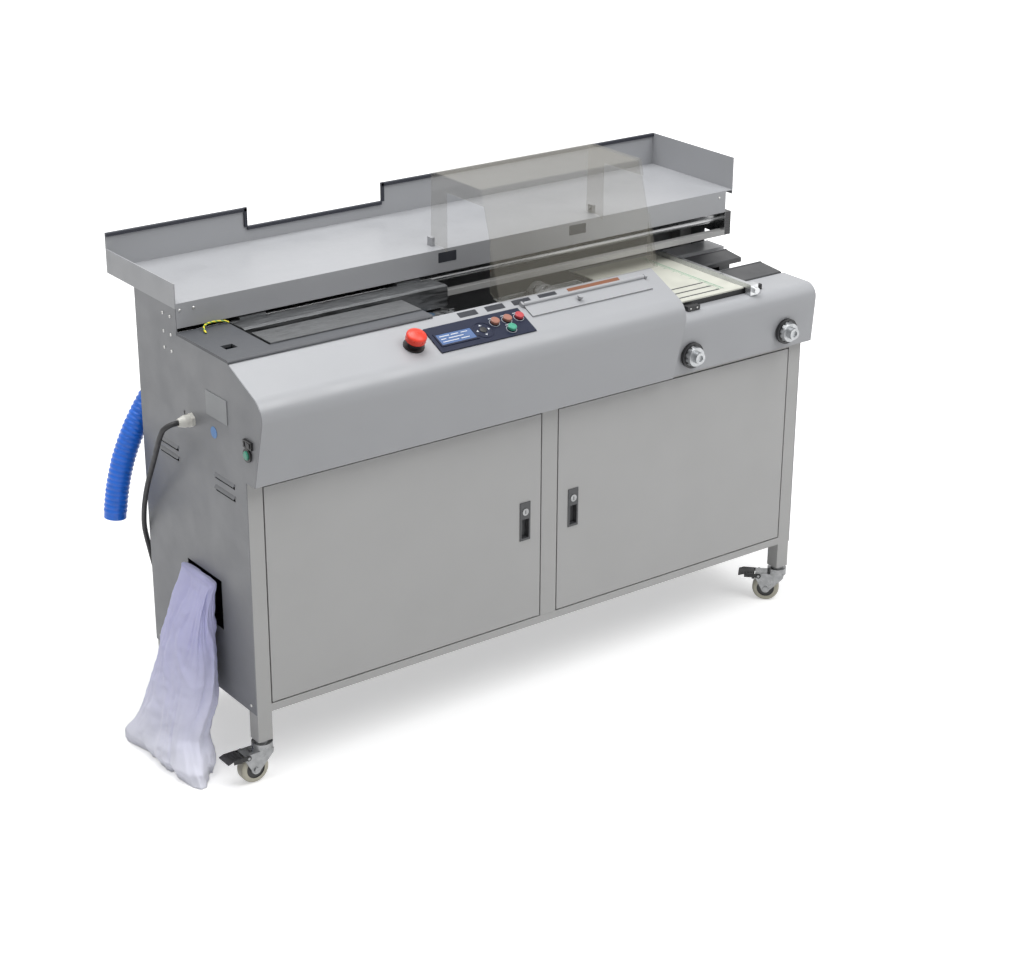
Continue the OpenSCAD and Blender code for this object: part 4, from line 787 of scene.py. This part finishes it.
def panel_print():
    """Display, key pad marks and thin rings round the buttons on the control panel."""
    lcd = Mat("lcd_glass", (0.055, 0.105, 0.235), 0.12, Coat_Weight=0.6, Coat_Roughness=0.05)
    lcd.b.inputs["Emission Color"].default_value = (0.12, 0.32, 0.85, 1)
    lcd.b.inputs["Emission Strength"].default_value = 0.08
    lcd.vary(40.0, 0.12)
    slab("lcd_glass", rrect(*LCD, 1.0), lambda u, v, n: on_slope(LCD_AT[0] + u, LCD_AT[1] - v, n),
         PANEL_T + 0.05, PANEL_T + 0.7, lcd, 0.2, slot="panel_print")
    marks = []
    # Bars stand for the display's three rows
    for row, runs in enumerate(LCD_ROWS):
        for a, b in runs:
            x, s = LCD_AT[0] + a, LCD_AT[1] - 22.5 + 8 * row
            at = lambda u, v, n, x=x, s=s: on_slope(x + u, s - v, n)
            marks.append(mark(rrect(b - a, 1.9, 0.5, 2), at, PANEL_T + 0.95, PANEL_T + 0.7))
    # Pointers round the pad, and rings and short rules by the buttons
    for k in range(4):
        a = pi / 2 * k
        tip = [(16.5, 0), (12.0, 3.4), (12.0, -3.4)]
        pts = [(x * cos(a) - y * sin(a), x * sin(a) + y * cos(a)) for x, y in tip]
        marks.append(mark(pts, lambda u, v, n: on_slope(PAD[0] + u, PAD[1] - v, n)))
    for x, s in BUTTONS:
        at = lambda u, v, n, x=x, s=s: on_slope(x - 7 + u, s - 13.2 - v, n)
        marks.append(mark(rrect(14, 1.6, 0.5, 2), at, PANEL_T + 0.3))
        v, f = [], []
        for k in range(RING_N):
            turns = (2 * pi * k / RING_N, 2 * pi * (k + 1) / RING_N)
            for r, a in zip((RING_R[0], RING_R[1], RING_R[1], RING_R[0]), (0, 0, 1, 1)):
                v.append(on_slope(x + r * cos(turns[a]), s - r * sin(turns[a]), PANEL_T + 0.12))
            f.append(tuple(range(4 * k, 4 * k + 4)))
        marks.append(mesh("ring", v, f, M["light_print"], slot="panel_print"))
    join("panel_marks", marks)
    profile = ((8, PANEL_T + 0.05), (8, PANEL_T + 1.2), (6.8, PANEL_T + 1.9), (3, PANEL_T + 2.1))
    lathe("pad_centre", profile, lambda u, v, n: on_slope(PAD[0] + u, PAD[1] - v, n),
          M["black_plastic"], 28, slot="panel_print")


panel_print()


def side_screws():
    shelf = [left_face(y, z) for y in (275, 305) for z in (849, 883, 921)]
    foot = [left_face(y, 168) for y in (20, 404)]
    screws("side_screws", shelf + foot)
    screws("skirt_screws", [front_face(x, SKIRT_Y, 938) for x in (10, 41, 1410)], 3.0)
    screws("knob_screws", [front_face(x, -11, 800) for x in (1104, 1122)], 2.2)


side_screws()


WALL_Y = 538.9                  # middle of the trim on the rear wall
TALL, LOW = 1026.1, 985.1       # tops of the wall's high and low lengths
STEPS = (329, 669)              # X of its two steps
TRIM = ((-3.0, -7.0), (-3.0, -0.6), (-2.2, 0.5), (0, 0.9), (2.2, 0.5), (3.0, -0.6), (3.0, -7.0))


def trims():
    """Black edging on the rear wall: a channel pressed over the sheet."""
    out = []

    def run(a, b, up):
        side = (b - a).normalized().cross(up)
        v = [end + (side * x + up * z) / 1000 for end in (a, b) for x, z in TRIM]
        n = len(TRIM)
        f = [(k, k + 1, n + k + 1, n + k) for k in range(n - 1)]
        f += [(n - 1, 0, n, 2 * n - 1), tuple(range(n)), tuple(range(n, 2 * n))[::-1]]
        o = mesh("trim", v, f, M["trim_rubber"], slot="black_plastic")
        tidy_normals(o)
        out.append(o)

    up, right = Vector((0, 0, 1)), Vector((1, 0, 0))
    a, b = STEPS
    run(P(0.5, WALL_Y, TALL), P(a + 0.5, WALL_Y, TALL), up)
    run(P(a + 0.4, WALL_Y, LOW), P(a + 0.4, WALL_Y, TALL + 1), right)
    run(P(a, WALL_Y, LOW), P(b, WALL_Y, LOW), up)
    run(P(b - 0.4, WALL_Y, LOW), P(b - 0.4, WALL_Y, TALL + 1), -right)
    run(P(b - 0.5, WALL_Y, TALL), P(BODY_L - 0.5, WALL_Y, TALL), up)
    join("shelf_trim", out)


trims()


EARTH_ROUTE = ((44, 212, 895.5), (46, 222, 899), (54, 236, 902), (70, 243.5, 903),
               (90, 245, 902), (104, 243, 900), (110, 238, 897.2))
EARTH_D = 0.0038


def earth_lead():
    """Green and yellow lead that arcs over the deck to the clamp channel."""
    line = spline([P(*p) for p in EARTH_ROUTE], 8)
    m = Mat("earth_lead", (0.75, 0.62, 0.03), 0.4)
    m.vary(60.0, 0.08)
    along = m.math("ADD", m.axis("X"), m.math("MULTIPLY", m.axis("Z"), 1.7))
    band = m.math("GREATER_THAN", m.math("FRACT", m.math("MULTIPLY", along, 90.0)), 0.62)
    m.over(band, (0.06, 0.30, 0.06))
    o = tube("earth_lead", line, [EARTH_D / 2] * len(line), 10, m, Vector((0, 0, 1)),
             slot="cable_rubber")


earth_lead()


SCALE_X, SCALE_Y, TICK_N, TICK_STEP = 1236, 40, 46, 6
CREASES = (33, 61, 89)          # Y of the dark lines


def table_marks():
    """Scale ticks by the fence and dark crease lines on the cover table."""
    green = plastic("green_print", (0.05, 0.30, 0.16), 0.45)

    def printed(outline, at):
        return slab("tick", outline, at, 0.02, 0.12, green, 0.02, slot="table_sheet")

    ticks = []
    for k in range(TICK_N):
        y, w = SCALE_Y + TICK_STEP * k, 16 if k % 5 == 0 else 8
        ticks.append(printed([(0, 0), (w, 0), (w, 1.0), (0, 1.0)],
                             lambda u, v, n, y=y, w=w: P(SCALE_X - w + u, y + v, TABLE_Z + n)))
    ticks.append(printed([(0, 0), (1.4, 0), (1.4, 280), (0, 280)],
                         lambda u, v, n: P(SCALE_X + 1 + u, 34 + v, TABLE_Z + n)))
    join("table_scale", ticks)
    join("table_lines", [slab("line", rrect(170, 4.5, 0.6, 2),
                              lambda u, v, n, y=y: P(1056 + u, y + v, TABLE_Z + n),
                              0.02, 0.25, M["dark_label"], 0.1, slot="black_plastic")
                         for y in CREASES])


table_marks()


def hose_clamp():
    """Band round the hose's upper end."""
    c, d = P(90.4, HOSE_Y, 730.4), Vector((-0.7071, 0, -0.7071))
    u, w = Vector((0, 1, 0)), Vector((-0.7071, 0, 0.7071))
    prof = ((24.9, -5.5), (25.9, -5.5), (26.2, -4.5), (26.2, 4.5), (25.9, 5.5), (24.9, 5.5))
    at = lambda a, b, n: c + (u * a + w * b + d * n) / 1000
    v, f, sides = [], [], 48
    for r, h in prof:
        for k in range(sides):
            a = 2 * pi * k / sides
            v.append(at(r * cos(a), r * sin(a), h))
    m = len(prof)
    for i in range(m):
        for k in range(sides):
            j = (i + 1) % m
            f.append((i * sides + k, i * sides + (k + 1) % sides,
                      j * sides + (k + 1) % sides, j * sides + k))
    o = mesh("hose_clamp", v, f, M["screw"], slot="brushed_parts", smooth=True)
    tidy_normals(o)


hose_clamp()

# Widths in millimetres of the eased edges of sheet metal and turned parts
EDGES = {
    0.3: ("left_panel", "cover_table"),
    0.4: ("shelf", "control_panel", "fork_left", "fork_right", "pedal_left", "pedal_right",
          "left_pull", "right_pull", "cable_gland"),
    0.5: ("main_hood", "cover_hood", "fence", "table_rail", "guide_rails", "hatch", "guard"),
    0.6: ("deck", "glue_tank", "motors"),
    0.8: ("left_door", "right_door", "front_jaw", "carriage", "nip_front", "nip_rear",
          "frame_rails", "frame_posts", "power_plug"),
    1.0: ("electrics_box",),
}
for width, names in EDGES.items():
    for name in names:
        bevel(N[name], width / 1000)


# ---------------------------------------------------------------- stage and light
def stage():
    me = bpy.data.meshes.new("floor")
    s = 40
    me.from_pydata([(x, y, -0.0005) for x, y in ((-s, -s), (s, -s), (s, s), (-s, s))], [],
                   [(0, 1, 2, 3)])
    o = bpy.data.objects.new("floor", me)
    col.objects.link(o)
    m = Mat("floor", (0.80, 0.80, 0.80), 0.9)
    # Emission that only the camera, reflections and see-through pieces meet
    em = m.new("ShaderNodeEmission")
    em.inputs["Color"].default_value = (1, 1, 1, 1)
    lp = m.new("ShaderNodeLightPath")
    direct = m.math("MAXIMUM", lp.outputs["Is Glossy Ray"], lp.outputs["Is Transmission Ray"])
    seen = m.math("MAXIMUM", lp.outputs["Is Camera Ray"], direct)
    # The floor fades to white away from the machine, and keeps the shadow near it
    sep = m.new("ShaderNodeVectorMath", operation="LENGTH")
    m.link(m.pos, sep.inputs[0])
    far = m.new("ShaderNodeMapRange")
    for key, val in (("From Min", 1.2), ("From Max", 3.6), ("To Min", 0.45), ("To Max", 1.0)):
        far.inputs[key].default_value = val
    m.link(sep.outputs["Value"], far.inputs["Value"])
    em_s = m.math("MULTIPLY", seen, far.outputs["Result"])
    m.link(em_s, em.inputs["Strength"])
    add = m.new("ShaderNodeAddShader")
    m.link(m.b.outputs[0], add.inputs[0])
    m.link(em.outputs[0], add.inputs[1])
    m.link(add.outputs[0], m.t.nodes["Material Output"].inputs["Surface"])
    me.materials.append(m.m)
    w = bpy.data.worlds.new("world")
    bpy.context.scene.world = w
    w.use_nodes = True
    t = w.node_tree
    bg = t.nodes["Background"]
    bg.inputs["Color"].default_value = (1, 1, 1, 1)
    lp = t.nodes.new("ShaderNodeLightPath")
    a = t.nodes.new("ShaderNodeMath")
    a.operation = "MAXIMUM"
    b = t.nodes.new("ShaderNodeMath")
    b.operation = "MAXIMUM"
    t.links.new(lp.outputs["Is Camera Ray"], a.inputs[0])
    t.links.new(lp.outputs["Is Glossy Ray"], a.inputs[1])
    t.links.new(a.outputs[0], b.inputs[0])
    t.links.new(lp.outputs["Is Transmission Ray"], b.inputs[1])
    r = t.nodes.new("ShaderNodeMapRange")
    r.inputs["To Min"].default_value = 0.28
    r.inputs["To Max"].default_value = 1.0
    t.links.new(b.outputs[0], r.inputs["Value"])
    t.links.new(r.outputs["Result"], bg.inputs["Strength"])

    def area(name, at, to, size, watts):
        d = bpy.data.lights.new(name, "AREA")
        d.shape = "RECTANGLE"
        d.size, d.size_y = size
        d.energy = watts
        o = bpy.data.objects.new(name, d)
        o.location = at
        o.rotation_euler = (Vector(to) - Vector(at)).to_track_quat("-Z", "Y").to_euler()
        col.objects.link(o)

    area("key", (1.4, -2.7, 4.4), (0.2, 0, 0.6), (3.0, 3.0), 125)
    area("top", (-0.6, 0.4, 4.2), (0, 0, 0.8), (3.5, 3.0), 150)


stage()
bpy.context.scene.view_settings.view_transform = "Standard"
